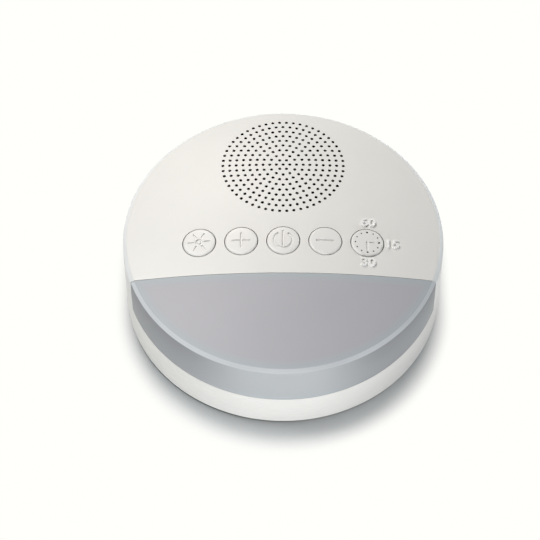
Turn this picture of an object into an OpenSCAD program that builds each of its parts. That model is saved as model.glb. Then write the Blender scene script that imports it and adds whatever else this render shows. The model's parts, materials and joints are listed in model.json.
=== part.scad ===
// Round white noise sound machine with a night light, a speaker grille and five push buttons.
// Millimetres. The origin is on the table under the centre of the body, +Z is up and the
// night light faces -Y.

/* [Body] */
// Overall diameter of the body
body_d = 90; // [89:0.5:94]
// Height of the peak of the top above the table
body_h = 30.6; // [30.2:0.2:34]
// Height that the domed top rises from its rim to its peak
dome_rise = 4.4; // [4:0.1:4.8]
// Width of the bevel round the top edge
rim_bevel = 1.1; // [0.8:0.1:1.4]
// Height of the seam between the base and the parts above it
seam_h = 12; // [11.6:0.2:13]
// Wall of the upper housing and of the base
wall = 2; // [1.8:0.1:2.2]
// Thickness of the base's floor
floor_t = 2; // [1.8:0.1:2.2]
// Radius of the rounded bottom edge
base_round = 0.6; // [0.4:0.1:1]
// Width of the line that shows between the shells
seam_gap = 0.1; // [0.05:0.05:0.2]

/* [Night light] */
// Distance of the diffuser's straight edge in front of the centre
light_edge = 15; // [14.8:0.2:17]
// Wall of the diffuser
diffuser_wall = 1.8; // [1.5:0.1:2]
// Depth of the diffuser's tongue under the upper housing
tongue_w = 1.6; // [1.2:0.1:1.7]
// Number of lamps on the light board
led_count = 7; // [5:2:9]
// Side of one lamp
led_side = 5; // [3.5:0.5:5]
// Height of the light board's underside above the floor
light_board_lift = 4.4; // [3:0.2:5]

/* [Speaker] */
// Diameter of the speaker's rim
speaker_d = 38; // [37.6:0.2:38.6]
// Gap between the speaker's seat and the side wall
speaker_margin = 0.7; // [0.5:0.1:1.1]
// Diameter of the magnet
magnet_d = 22; // [20:0.5:24]
// Diameter of the voice coil
coil_d = 14; // [12:0.5:15]
// Distance that the cone moves each way
cone_travel = 0.4; // [0.2:0.1:0.5]
// Rings of holes round the grille's centre hole
grille_rings = 9; // [6:1:9]
// Distance between two rings of holes
grille_pitch = 1.91; // [1.7:0.01:1.93]
// Diameter of one grille hole
grille_hole = 0.8; // [0.5:0.05:0.9]

/* [Buttons] */
// Diameter of a button's cap
button_d = 9.1; // [8.6:0.1:9.3]
// Gap round a cap in its hole
button_gap = 0.2; // [0.12:0.02:0.24]
// Distance between two buttons
button_pitch = 11.7; // [11.6:0.1:11.9]
// Distance of the button row in front of the centre
button_row = 4.4; // [3.8:0.1:4.8]
// Height of a cap's crown above the domed top
button_proud = 0.45; // [0.45:0.05:0.7]
// Distance that a button travels
button_travel = 0.4; // [0.25:0.05:0.5]
// Distance of the timer's marks from its centre
timer_mark_r = 3.3; // [3:0.1:3.5]

/* [Power] */
// Room beside the battery for its small board and its lead
battery_margin = 7.9; // [7.9:0.1:10]
// Width of the battery, from front to back
battery_w = 34; // [28:1:35]
// Gap between the battery and the speaker above it
battery_clear = 1.1; // [0.9:0.1:2]
// Width of the charging socket
usb_w = 8.94; // [8.9:0.02:9.2]
// Height of the charging socket
usb_h = 3.26; // [3.2:0.02:3.4]

/* [Feet and screws] */
// Diameter of a rubber foot
foot_d = 9; // [7:0.5:10]
// Height that a foot stands out of the base
foot_proud = 0.4; // [0.3:0.1:0.8]
// Distance of each foot from the centre lines
foot_place = 26.5; // [24:0.5:27]
// Distance of the case screws from the side of the body
case_screw_inset = 8.5; // [8.2:0.1:9]
// Distance of the case screws from the centre, front to back
case_screw_y = 9.5; // [8:0.5:11]

/* [Boards] */
// Thickness of the circuit boards
board_t = 1.2; // [0.8:0.2:1.6]
// Side of a switch under a button
switch_side = 4.5; // [4:0.1:4.8]
// Height of a switch without its plunger
switch_h = 3.4; // [3:0.1:4]

/* [Hidden] */

fine = 96;     // facets of round parts in the preview
small = 32;    // facets of small round parts in the preview
eps = 0.01;    // overlap of pieces that are joined
over = 1;      // overrun of a cutting tool

// Domed drum
body_r = body_d / 2;
rim_r = body_r - rim_bevel;
dome_r = (rim_r * rim_r + dome_rise * dome_rise) / (2 * dome_rise);
dome_z = body_h - dome_r;
rim_z = body_h - dome_rise;
base_z = foot_proud;
floor_z = base_z + floor_t;
upper_z = seam_h + seam_gap;
inner_r = body_r - wall;

// Height above the table of the domed top, or of a surface set in from it, at a radius
function dome_at(r, inset = 0) = dome_z + sqrt(pow(dome_r - inset, 2) - r * r);

// Locating lip of the base
lip_gap = 0.1;
lip_t = 1.2;
lip_rise = 1.5;
lip_root = 2;
lip_r = inner_r - lip_gap;
lip_inner_r = lip_r - lip_t;
lip_top = seam_h + lip_rise;

// Screws: a screw is [core diameter, length under the head, head diameter, head height]
case_screw = [2.2, 9, 4.6, 1.8];
small_screw = [1.6, 4, 3.2, 1.1];
short_screw = [1.6, 3.2, 3.2, 1.1];
washer_screw = [1.6, 3.2, 5, 1];
screw_slack = 0.05;
pilot_extra = 1;
case_web = 3;
case_boss_r = 2.8;
case_post_r = 3.6;
counterbore_d = case_screw[2] + 0.8;
case_screw_x = body_r - case_screw_inset;

// Speaker, measured down from the top of its rim
speaker_r = speaker_d / 2;
speaker_ring_in = grille_rings * grille_pitch + grille_hole / 2 + 0.12;
speaker_ring_out = speaker_r + 0.3;
speaker_back = inner_r - speaker_ring_out - speaker_margin;
ring_drop = 1.1;
gasket_t = 0.6;
shoulder_z = dome_at(speaker_back + speaker_ring_out, wall) - ring_drop;
speaker_z = shoulder_z - gasket_t;
frame_t = 0.8;
rim_w = 1.6;
surround_w = 2.8;
surround_rise = 1.1;
surround_t = 0.35;
cone_r = speaker_r - rim_w - surround_w;
cone_t = 0.4;
cone_depth = 3.4;
coil_r = coil_d / 2;
coil_t = 0.3;
air_gap = 0.35;
coil_top = -cone_depth - 0.2;
coil_bottom = -11;
spider_z = -5.2;
basket_z = -6.6;
top_plate_t = 1.5;
magnet_t = 3.4;
yoke_t = 1.5;
plate_z = basket_z - frame_t;
magnet_z = plate_z - top_plate_t;
yoke_z = magnet_z - magnet_t;
speaker_screw_r = speaker_r + 2.1;
speaker_screw_angles = [30, 150, 210, 330];
speaker_boss_r = 1.9;
cloth_t = 0.3;
fit_gap = 0.05;

// Buttons: the caps run in guides under the top and press the switches
button_r = button_d / 2;
button_hole_r = button_r + button_gap;
button_places = [-2, -1, 0, 1, 2];
guide_r = button_hole_r + 1.5;
guide_drop = 1.1;
guide_z = dome_at(2 * button_pitch + guide_r, wall) - guide_drop;
stop_gap = 0.1;
flange_t = 1;
flange_r = button_hole_r + 0.6;
flange_z = guide_z - stop_gap - flange_t;
key_flat = flange_r - 0.6;
key_gap = 0.1;
key_t = 1.2;
key_w = 5;
key_drop = 2.2;
cap_crown_r = 30;
cap_edge = 0.35;
stem_r = 1.5;
stem_l = 1.8;
plunger_r = 1.2;
plunger_h = 1.5;
plunger_root = 0.4;
plunger_z = flange_z - stem_l;
board_top = plunger_z - plunger_h - switch_h;
board_z = board_top - board_t;
pipe_r = 0.4;

// Main board
board_half_l = case_screw_x - case_boss_r - 2.7;
board_half_w = 9;
board_boss_x = board_half_l - 1.7;
board_boss_dy = 6.6;
board_boss_r = 2;
chip_h = 1.5;
timer_led_h = 0.6;
socket_l = 6;
socket_w = 4.5;
socket_h = 4.4;
plug_w = 3;
plug_h = 3.6;
charge_plug_x = board_half_l - 7;
lead_plug_x = 12;
plug_back_y = 2.2;
plug_front_y = -11;
// Sockets: [x, y, the way that the plug faces]
socket_places = [
    [charge_plug_x, plug_back_y, 1], [-lead_plug_x, plug_back_y, 1], [lead_plug_x, plug_front_y, -1]
];

// Night light
baffle_t = 1.2;
baffle_back = light_edge + 0.8;
baffle_front = baffle_back + baffle_t;
tongue_t = 1.2;
tongue_gap = 0.1;
tongue_root = 2;
hook_angles = [-130, -90, -50];
hook_w = 4;
hook_t = 1.1;
clip_gap = 0.1;
clip_t = 1.4;
clip_l = 5;
clip_h = 4;
clip_places = [-27, 0, 27];
notch_w = 5;
notch_h = 6;
light_board_r = lip_inner_r - 0.5;
light_board_front = baffle_front + 0.6;
light_board_z = floor_z + light_board_lift;
led_ring_r = light_board_r - 8.2;
led_span = 50;
led_h = 1.5;
light_post_places = [[-14, -22], [14, -22], [0, 2.8 - light_board_r]];
light_post_r = 2;

// Power
tape_t = 0.5;
battery_z = floor_z + tape_t;
battery_t = speaker_z + yoke_z - yoke_t - battery_clear - battery_z;
battery_l = 2 * (case_screw_x - case_post_r - battery_margin);
battery_front = -13.4;
bay_gap = 0.3;
bay_t = 1.2;
bay_h = 3;
bay_opening = 20;
protection_w = 2.4;
charge_board_half_w = 9;
charge_board_front = 25.5;
charge_board_back = sqrt(inner_r * inner_r - charge_board_half_w * charge_board_half_w) - 0.4;
charge_post_h = 1.2;
charge_post_r = 2;
charge_board_z = floor_z + charge_post_h;
charge_chip_h = 1;
charge_screw_x = 6.6;
charge_screw_y = 28;
usb_l = 7.35;
usb_recess = 0.4;
usb_wall = 0.3;
usb_gap = 0.17;
usb_z = charge_board_z + board_t + usb_h / 2;
usb_mouth = body_r - usb_recess;
chip_back = usb_mouth - usb_l - 1.85;

foot_t = foot_proud + 0.8;
foot_gap = 0.1;
foot_bevel = 0.3;

// Leads: pairs of wires from board to board
wire_d = 1.1;
wire_pitch = 1.3;
lead_z = board_z - socket_h / 2;
plug_out = socket_w / 2 + plug_w / 2;
pad_z = charge_board_z + board_t + wire_d / 2 + eps;
strip_z = light_board_z + board_t + wire_d / 2 + eps;
tag_z = speaker_z + spider_z - frame_t + wire_d / 2 + eps;
cell_z = battery_z + battery_t / 2;
cell_end = battery_l / 2 + protection_w;
battery_lead_path = [
    [cell_end, 4, cell_z], [cell_end + 1, 4, cell_z], [cell_end + 2.2, 4.7, cell_z],
    [cell_end + 3.2, 6.2, cell_z], [cell_end + 3.6, 8.2, cell_z], [cell_end + 3.7, 11, cell_z],
    [cell_end + 3.8, 14, cell_z], [cell_end + 3.9, 17.5, cell_z], [cell_end + 3.8, 21, cell_z],
    [cell_end + 2.6, 24.4, cell_z], [cell_end + 0.2, 27.2, cell_z], [cell_end - 3.2, 29.4, cell_z],
    [cell_end - 7.4, 30.8, cell_z], [15.6, 31.5, cell_z], [11.4, 31.8, pad_z + 0.1],
    [8.8, 31.8, pad_z], [7.2, 31.8, pad_z]
];
charge_drop = lead_z - pad_z;
charge_lead_path = [
    [charge_plug_x, plug_back_y + plug_out, lead_z], [charge_plug_x, 7.6, lead_z],
    [charge_plug_x + 0.2, 9.6, pad_z + charge_drop * 0.99],
    [charge_plug_x + 0.6, 11.8, pad_z + charge_drop * 0.93],
    [charge_plug_x + 1, 14.2, pad_z + charge_drop * 0.83],
    [charge_plug_x + 1.1, 16.8, pad_z + charge_drop * 0.71],
    [charge_plug_x + 0.8, 19.4, pad_z + charge_drop * 0.59],
    [charge_plug_x, 22, pad_z + charge_drop * 0.47],
    [charge_plug_x - 1.6, 25, pad_z + charge_drop * 0.37],
    [20, 28, pad_z + charge_drop * 0.29], [17, 30.8, pad_z + charge_drop * 0.22],
    [14, 33, pad_z + charge_drop * 0.14], [11.4, 34.6, pad_z + charge_drop * 0.06],
    [9.2, 35.3, pad_z + charge_drop * 0.01], [7.2, 35.4, pad_z]
];
tag_rise = tag_z - lead_z;
speaker_lead_path = [
    [-lead_plug_x, plug_back_y + plug_out, lead_z], [-lead_plug_x, 7, lead_z + tag_rise * 0.03],
    [-11.6, 8.1, lead_z + tag_rise * 0.2], [-10.9, 9.1, lead_z + tag_rise * 0.52],
    [-10.1, 10, lead_z + tag_rise * 0.87], [-9.3, 10.9, lead_z + tag_rise * 1.03],
    [-8.5, 11.9, tag_z]
];
light_drop = lead_z - strip_z;
light_lead_path = [
    [lead_plug_x, plug_front_y - plug_out, lead_z], [lead_plug_x, -16, lead_z],
    [lead_plug_x, -17.6, strip_z + light_drop * 0.95],
    [11.9, -19.2, strip_z + light_drop * 0.8], [11.6, -20.6, strip_z + light_drop * 0.6],
    [11.2, -21.9, strip_z + light_drop * 0.4], [10.7, -23.2, strip_z + light_drop * 0.22],
    [10.2, -24.5, strip_z + light_drop * 0.09], [9.8, -25.8, strip_z + light_drop * 0.02],
    [9.6, -27, strip_z]
];

// Points along an arc
function arc(cx, cy, r, a0, a1, n) =
    [for (i = [0:n]) let (a = a0 + (a1 - a0) * i / n) [cx + r * cos(a), cy + r * sin(a)]];

// Outline with straight sides and half-round ends
function racetrack(w, h, n = 8) = concat(
    arc((w - h) / 2, 0, h / 2, -90, 90, n),
    arc(-(w - h) / 2, 0, h / 2, 90, 270, n)
);

// ---------------------------------------------------------------- helpers

module ring(r_out, r_in, h) {
    difference() {
        cylinder(r = r_out, h = h, $fn = fine);
        translate([0, 0, -over]) cylinder(r = r_in, h = h + 2 * over, $fn = fine);
    }
}

module revolve(points) {
    rotate_extrude($fn = fine) polygon(points);
}

module block(x, y, z) {
    translate([x[0], y[0], z[0]]) cube([x[1] - x[0], y[1] - y[0], z[1] - z[0]]);
}

module mirror_copy(v) {
    children();
    mirror(v) children();
}

// Solid under the domed top, set in by a distance
module under_dome(inset) {
    translate([0, 0, dome_z]) sphere(r = dome_r - inset, $fn = 2 * fine);
}

// Frame on the domed top at a place, with its Z square to the surface
module on_dome(x, y) {
    r = norm([x, y]);
    translate([0, 0, dome_z])
        rotate(a = asin(r / dome_r), v = [-y, x, 0])
            translate([0, 0, dome_r])
                children();
}

module at_button(i) {
    translate([i * button_pitch, -button_row, 0]) children();
}

module at_speaker() {
    translate([0, speaker_back, 0]) children();
}

module at_case_screws() {
    for (sx = [-1, 1], sy = [-1, 1])
        translate([sx * case_screw_x, sy * case_screw_y, 0]) children();
}

module at_board_bosses() {
    for (sx = [-1, 1], sy = [-1, 1])
        translate([sx * board_boss_x, sy * board_boss_dy - button_row, 0]) children();
}

module at_speaker_screws() {
    at_speaker() for (a = speaker_screw_angles)
        translate([speaker_screw_r * cos(a), speaker_screw_r * sin(a), 0]) children();
}

// Screw that points up, with the underside of its head at the origin
module screw(size) {
    slot_w = size[2] / 6;
    translate([0, 0, -eps]) cylinder(d = size[0], h = size[1] + eps, $fn = small);
    difference() {
        translate([0, 0, -size[3]]) cylinder(d = size[2], h = size[3], $fn = small);
        for (turn = [0, 90]) rotate(turn)
            block([-size[2] / 3, size[2] / 3], [-slot_w / 2, slot_w / 2],
                [-size[3] - over, -size[3] / 2]);
    }
}

// Hole for a screw's core, from the origin upwards
module pilot(size, depth) {
    translate([0, 0, -eps]) cylinder(d = size[0] + 2 * screw_slack, h = depth, $fn = small);
}

// Tube with eight sides along a path, for a path that never runs straight up
module wire(path, d, shift = 0) {
    n = len(path);
    sides = 8;
    function direction(i) =
        let (v = path[min(i + 1, n - 1)] - path[max(i - 1, 0)]) v / norm(v);
    function side_way(i) = let (s = cross(direction(i), [0, 0, 1])) s / norm(s);
    function ring_points(i) =
        let (s = side_way(i), u = cross(s, direction(i)))
        [for (k = [0:sides - 1]) let (a = 360 * k / sides)
            path[i] + s * (shift + d / 2 * cos(a)) + u * (d / 2 * sin(a))];
    points = [for (i = [0:n - 1]) each ring_points(i)];
    walls = [for (i = [0:n - 2], k = [0:sides - 1]) let (j = (k + 1) % sides)
        [i * sides + k, i * sides + j, (i + 1) * sides + j, (i + 1) * sides + k]];
    start = [[for (k = [sides - 1:-1:0]) k]];
    end = [[for (k = [0:sides - 1]) (n - 1) * sides + k]];
    polyhedron(points, concat(walls, start, end));
}

module lead(path, colours) {
    for (s = [0, 1])
        color(colours[s]) wire(path, wire_d, (s - 0.5) * wire_pitch);
}

// ---------------------------------------------------------------- shells

// Outside of the body above the seam: a drum with a domed top and a bevelled rim
module drum() {
    top = rim_z + dome_rise + over;
    intersection() {
        revolve([
            [0, upper_z], [body_r, upper_z], [body_r, rim_z - rim_bevel],
            [rim_r - dome_rise - over, top], [0, top]
        ]);
        under_dome(0);
    }
}

// Inside of the body for a wall thickness
module hollow(t) {
    intersection() {
        translate([0, 0, upper_z - over]) cylinder(r = body_r - t, h = body_h, $fn = fine);
        under_dome(t);
    }
}

module grille_holes() {
    at_speaker() for (n = [0:grille_rings], k = [0:max(0, 6 * n - 1)])
        let (a = 360 * k / max(1, 6 * n))
            translate([n * grille_pitch * cos(a), n * grille_pitch * sin(a), shoulder_z])
                cylinder(d = grille_hole, h = body_h, $fn = 16);
}

module button_guides() {
    for (i = button_places) at_button(i) {
        translate([0, 0, guide_z]) cylinder(r = guide_r, h = body_h, $fn = small);
        block([-key_w / 2, key_w / 2], [key_flat + key_gap, key_flat + key_gap + key_t],
            [guide_z - key_drop, guide_z + over]);
    }
}

module speaker_seat() {
    at_speaker() translate([0, 0, shoulder_z])
        cylinder(r = speaker_ring_out, h = body_h, $fn = fine);
    at_speaker_screws() translate([0, 0, speaker_z - frame_t])
        cylinder(r = speaker_boss_r, h = body_h, $fn = small);
}

module case_bosses() {
    at_case_screws() translate([0, 0, upper_z]) cylinder(r = case_boss_r, h = body_h, $fn = small);
    for (sx = [0, 180]) rotate(sx) for (sy = [-1, 1])
        rotate(sy * atan2(case_screw_y, case_screw_x))
            block([norm([case_screw_x, case_screw_y]), inner_r + wall / 2], [-0.6, 0.6],
                [lip_top + 1, body_h]);
}

module upper_housing() {
    color("whitesmoke") difference() {
        union() {
            difference() {
                drum();
                hollow(wall);
                block([-body_r - over, body_r + over], [-body_r - over, -light_edge],
                    [0, body_h + over]);
            }
            intersection() {
                union() {
                    button_guides();
                    speaker_seat();
                    case_bosses();
                    at_board_bosses() translate([0, 0, board_top])
                        cylinder(r = board_boss_r, h = body_h, $fn = small);
                }
                under_dome(wall / 2);
            }
        }
        grille_holes();
        intersection() {
            at_speaker() cylinder(r = speaker_ring_in, h = body_h, $fn = fine);
            under_dome(wall);
        }
        for (i = button_places) at_button(i)
            cylinder(r = button_hole_r, h = body_h + over, $fn = small);
        at_case_screws() translate([0, 0, upper_z])
            pilot(case_screw, case_screw[1] - case_web + pilot_extra);
        at_board_bosses() translate([0, 0, board_top])
            pilot(small_screw, small_screw[1] - board_t + pilot_extra);
        at_speaker_screws() translate([0, 0, speaker_z - frame_t])
            pilot(washer_screw, washer_screw[1] + pilot_extra / 2);
    }
}

// Three hooks that snap under the root of the base's lip
module diffuser_hooks() {
    out = lip_inner_r - 0.2;
    for (a = hook_angles) rotate(a) rotate([90, 0, 0]) translate([0, 0, -hook_w / 2])
        linear_extrude(hook_w) polygon([
            [body_r - diffuser_wall + 0.2, lip_top + 0.3], [out, lip_top + 0.3],
            [out, seam_h - lip_root + 1.2], [out + 0.7, seam_h - lip_root + 0.5],
            [out + 0.7, seam_h - lip_root], [out, seam_h - lip_root - 1],
            [out - hook_t, seam_h - lip_root - 1], [out - hook_t, lip_top + 2],
            [body_r - diffuser_wall + 0.2, lip_top + 2]
        ]);
}

module night_light_diffuser() {
    edge = -light_edge - seam_gap;
    color("lightsteelblue", 0.8) union() {
        diffuser_hooks();
        difference() {
            drum();
            hollow(diffuser_wall);
            block([-body_r - over, body_r + over], [edge, body_r + over], [0, body_h + over]);
        }
        intersection() {
            block([-body_r, body_r], [edge - tongue_root, edge + tongue_w], [upper_z, body_h]);
            under_dome(wall + tongue_gap);
            difference() {
                cylinder(r = inner_r - lip_gap, h = body_h, $fn = fine);
                under_dome(wall + tongue_gap + tongue_t);
            }
        }
        intersection() {
            block([-body_r, body_r], [edge - tongue_root, edge], [upper_z, body_h]);
            under_dome(diffuser_wall - eps);
            difference() {
                cylinder(r = body_r - diffuser_wall + eps, h = body_h, $fn = fine);
                under_dome(wall + tongue_gap + tongue_t);
            }
        }
    }
}

module base_profile() {
    polygon(concat(
        [[0, base_z]],
        arc(body_r - base_round, base_z + base_round, base_round, -90, 0, 6),
        [
            [body_r, seam_h], [lip_r, seam_h], [lip_r, lip_top], [lip_inner_r, lip_top],
            [lip_inner_r, seam_h - lip_root + lip_t + lip_gap], [inner_r, seam_h - lip_root],
            [inner_r, floor_z], [0, floor_z]
        ]
    ));
}

module battery_bay() {
    half = battery_l / 2 + protection_w;
    x = half + bay_gap;
    y = [battery_front - bay_gap, battery_front + battery_w + bay_gap];
    difference() {
        block([-x - bay_t, x + bay_t], [y[0] - bay_t, y[1] + bay_t], [floor_z - eps, floor_z + bay_h]);
        block([-x, x], y, [floor_z - over, floor_z + bay_h + over]);
        block([-half + bay_opening / 2, half - bay_opening / 2], [y[0] - 2 * bay_t, y[1] + 2 * bay_t],
            [floor_z, floor_z + bay_h + over]);
        block([-x - 2 * bay_t, x + 2 * bay_t], [y[0] + bay_opening / 2, y[1] - bay_opening / 2],
            [floor_z, floor_z + bay_h + over]);
    }
}

module baffle_clips() {
    for (x = clip_places) difference() {
        block([x - clip_l / 2, x + clip_l / 2],
            [-baffle_front - clip_gap - clip_t, -baffle_back + clip_gap + clip_t],
            [floor_z - eps, floor_z + clip_h]);
        block([x - clip_l, x + clip_l], [-baffle_front - clip_gap, -baffle_back + clip_gap],
            [floor_z, floor_z + clip_h + over]);
    }
}

module base_shell() {
    color("whitesmoke") difference() {
        union() {
            rotate_extrude($fn = fine) base_profile();
            at_case_screws() translate([0, 0, base_z + eps])
                cylinder(r = case_post_r, h = seam_h - base_z - eps, $fn = small);
            battery_bay();
            baffle_clips();
            for (p = light_post_places) translate([p[0], p[1], floor_z - eps])
                cylinder(r = light_post_r, h = light_board_lift + eps, $fn = small);
            for (sx = [-1, 1]) translate([sx * charge_screw_x, charge_screw_y, floor_z - eps])
                cylinder(r = charge_post_r, h = charge_post_h + eps, $fn = small);
        }
        at_case_screws() {
            translate([0, 0, base_z - over])
                cylinder(d = counterbore_d, h = seam_h - case_web - base_z + over, $fn = small);
            cylinder(d = case_screw[0] + 2 * screw_slack, h = seam_h + over, $fn = small);
        }
        for (sx = [-1, 1], sy = [-1, 1])
            translate([sx * foot_place, sy * foot_place, base_z - over])
                cylinder(d = foot_d + 2 * foot_gap, h = foot_t - foot_proud + over, $fn = small);
        for (p = light_post_places)
            translate([p[0], p[1], light_board_z - (short_screw[1] - board_t) - screw_slack])
                pilot(short_screw, short_screw[1]);
        for (sx = [-1, 1]) translate([sx * charge_screw_x, charge_screw_y,
                charge_board_z - (short_screw[1] - board_t) - screw_slack])
            pilot(short_screw, short_screw[1]);
        translate([0, body_r + over, usb_z]) rotate([90, 0, 0])
            linear_extrude(wall + 3 * over)
                polygon(racetrack(usb_w + 2 * usb_gap, usb_h + 2 * usb_gap));
    }
}

module rubber_feet() {
    color("gainsboro")
        for (sx = [-1, 1], sy = [-1, 1]) translate([sx * foot_place, sy * foot_place, 0]) {
            cylinder(r1 = foot_d / 2 - foot_bevel, r2 = foot_d / 2, h = foot_bevel, $fn = small);
            translate([0, 0, foot_bevel]) cylinder(d = foot_d, h = foot_t - foot_bevel, $fn = small);
        }
}

module housing_screws() {
    color("silver") at_case_screws() translate([0, 0, seam_h - case_web]) screw(case_screw);
}

// ---------------------------------------------------------------- buttons

// Cap whose crown follows the domed top, on a keyed flange and a stem
module button_cap(i) {
    crown = button_proud - button_r * button_r / (2 * cap_crown_r);
    reach = 2;
    difference() {
        intersection() {
            at_button(i) translate([0, 0, flange_z + flange_t / 2])
                cylinder(r = button_r, h = body_h - flange_z, $fn = small);
            cap_sphere(i, 0);
            on_dome(i * button_pitch, -button_row) revolve([
                [0, -body_h / 2], [button_d, -body_h / 2], [button_d, crown - cap_edge - over],
                [button_r + over, crown - cap_edge - over],
                [button_r - cap_edge - reach, crown + reach], [0, crown + reach]
            ]);
        }
        children();
    }
    difference() {
        at_button(i) translate([0, 0, flange_z]) cylinder(r = flange_r, h = flange_t, $fn = small);
        at_button(i) block([-flange_r, flange_r], [key_flat, flange_r + over],
            [flange_z - over, flange_z + flange_t + over]);
        children();
    }
    at_button(i) translate([0, 0, plunger_z])
        cylinder(r = stem_r, h = flange_z - plunger_z + eps, $fn = small);
}

// Ball whose top is a cap's crown, lowered by a distance
module cap_sphere(i, lower) {
    x = i * button_pitch;
    top = [x, -button_row, dome_at(norm([x, button_row])) - dome_z];
    centre = top / dome_r * (dome_r + button_proud - lower - cap_crown_r);
    translate([0, 0, dome_z]) translate(centre) sphere(r = cap_crown_r, $fn = fine);
}

module at_timer_marks() {
    at_button(2) for (a = [90, 0, -90])
        translate([timer_mark_r * cos(a), timer_mark_r * sin(a), 0]) children();
}

module light_button() { color("white") mirror([1, 0, 0]) button_cap(2); }
module volume_up_button() { color("white") mirror([1, 0, 0]) button_cap(1); }
module power_button() { color("white") button_cap(0); }
module volume_down_button() { color("white") button_cap(1); }

module timer_button() {
    color("white") button_cap(2)
        at_timer_marks() translate([0, 0, flange_z - over])
            cylinder(r = pipe_r + fit_gap, h = body_h, $fn = small);
}

// Three clear pins that carry the timer lamps' light through the cap
module timer_light_pipes() {
    color("dimgray") intersection() {
        at_timer_marks() translate([0, 0, flange_z - 0.4])
            cylinder(r = pipe_r, h = body_h, $fn = small);
        cap_sphere(2, 0.02);
    }
}

module plunger(i) {
    color("dimgray") at_button(i) translate([0, 0, board_top + switch_h - plunger_root])
        cylinder(r = plunger_r, h = plunger_h + plunger_root, $fn = small);
}

// Switch housings with a well for each plunger
module switch_bodies() {
    s = switch_side / 2;
    color("dimgray") for (i = button_places) at_button(i) difference() {
        block([-s, s], [-s, s], [board_top, board_top + switch_h]);
        translate([0, 0, board_top + switch_h - plunger_root - button_travel - 0.1])
            cylinder(r = plunger_r + 0.1, h = switch_h, $fn = small);
    }
}

// ---------------------------------------------------------------- main board

module main_board() {
    color("seagreen") difference() {
        translate([0, -button_row, 0])
            block([-board_half_l, board_half_l], [-board_half_w, board_half_w], [board_z, board_top]);
        at_board_bosses() translate([0, 0, board_z - over])
            cylinder(d = small_screw[0] + 0.6, h = board_t + 2 * over, $fn = small);
    }
}

module board_screws() {
    color("silver") at_board_bosses() translate([0, 0, board_z]) screw(small_screw);
}

module timer_leds() {
    color("gold") at_timer_marks() block([-0.4, 0.4], [-0.4, 0.4], [board_top, board_top + timer_led_h]);
}

// Controller, amplifier and sound memory: [centre x, centre y, length, width]
module board_chips() {
    chips = [[-5.85, 2.1, 9.9, 3.9], [5.85, 2.1, 4.9, 3.9], [-17.6, 2.1, 4.9, 3.9]];
    color("dimgray") for (c = chips)
        translate([0, -button_row + switch_side / 2 + 1, 0])
            block([c[0] - c[2] / 2, c[0] + c[2] / 2], [c[1] - c[3] / 2, c[1] + c[3] / 2],
                [board_top, board_top + chip_h]);
}

module board_capacitors() {
    color("silver") for (x = [-5.85, 5.85])
        translate([x, -button_row - 6.2, board_top]) cylinder(d = 4, h = 5.4, $fn = small);
}

module lead_sockets() {
    color("ivory") for (p = socket_places) difference() {
        block([p[0] - socket_l / 2, p[0] + socket_l / 2], [p[1] - socket_w / 2, p[1] + socket_w / 2],
            [board_z - socket_h, board_z]);
        translate([0, p[2] * socket_w / 4, 0])
            block([p[0] - socket_l / 2 + 0.6, p[0] + socket_l / 2 - 0.6],
                [p[1] - socket_w / 2, p[1] + socket_w / 2],
                [board_z - socket_h + 0.4, board_z - 0.5]);
    }
}

module lead_plugs() {
    color("white") for (p = socket_places) {
        y0 = p[1] - p[2] * (socket_w / 4 - 0.1);
        y1 = p[1] + p[2] * plug_out;
        block([p[0] - socket_l / 2 + 0.7, p[0] + socket_l / 2 - 0.7], [min(y0, y1), max(y0, y1)],
            [board_z - socket_h / 2 - plug_h / 2 + 0.15, board_z - socket_h / 2 + plug_h / 2 - 0.2]);
    }
}

// ---------------------------------------------------------------- night light

module light_baffle() {
    color("white") difference() {
        intersection() {
            block([-body_r, body_r], [-baffle_front, -baffle_back], [floor_z, body_h]);
            cylinder(r = lip_inner_r - 0.3, h = body_h, $fn = fine);
            under_dome(wall + tongue_gap + tongue_t + tongue_gap);
        }
        block([lead_plug_x - notch_w / 2, lead_plug_x + notch_w / 2], [-baffle_front - over, -baffle_back + over],
            [lead_z - notch_h * 0.7, lead_z + notch_h * 0.3]);
    }
}

module light_board() {
    color("white") difference() {
        translate([0, 0, light_board_z]) cylinder(r = light_board_r, h = board_t, $fn = fine);
        block([-body_r, body_r], [-light_board_front, body_r], [0, body_h]);
        for (p = light_post_places) translate([p[0], p[1], 0])
            cylinder(d = short_screw[0] + 0.6, h = body_h, $fn = small);
    }
}

module night_light_leds() {
    s = led_side / 2;
    color("khaki") for (k = [0:led_count - 1])
        let (a = -90 + led_span * (2 * k / (led_count - 1) - 1))
            translate([led_ring_r * cos(a), led_ring_r * sin(a), light_board_z + board_t])
                rotate(a) block([-s, s], [-s, s], [0, led_h]);
}

module light_board_screws() {
    color("silver") for (p = light_post_places)
        translate([p[0], p[1], light_board_z + board_t]) mirror([0, 0, 1]) screw(short_screw);
}

// ---------------------------------------------------------------- speaker

module dust_cloth() {
    color("black") intersection() {
        at_speaker() cylinder(r = speaker_ring_in - fit_gap, h = body_h, $fn = fine);
        difference() {
            under_dome(wall + fit_gap);
            under_dome(wall + fit_gap + cloth_t);
        }
    }
}

module speaker_gasket() {
    color("dimgray") at_speaker() translate([0, 0, speaker_z])
        ring(speaker_r, speaker_ring_in, gasket_t);
}

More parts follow.
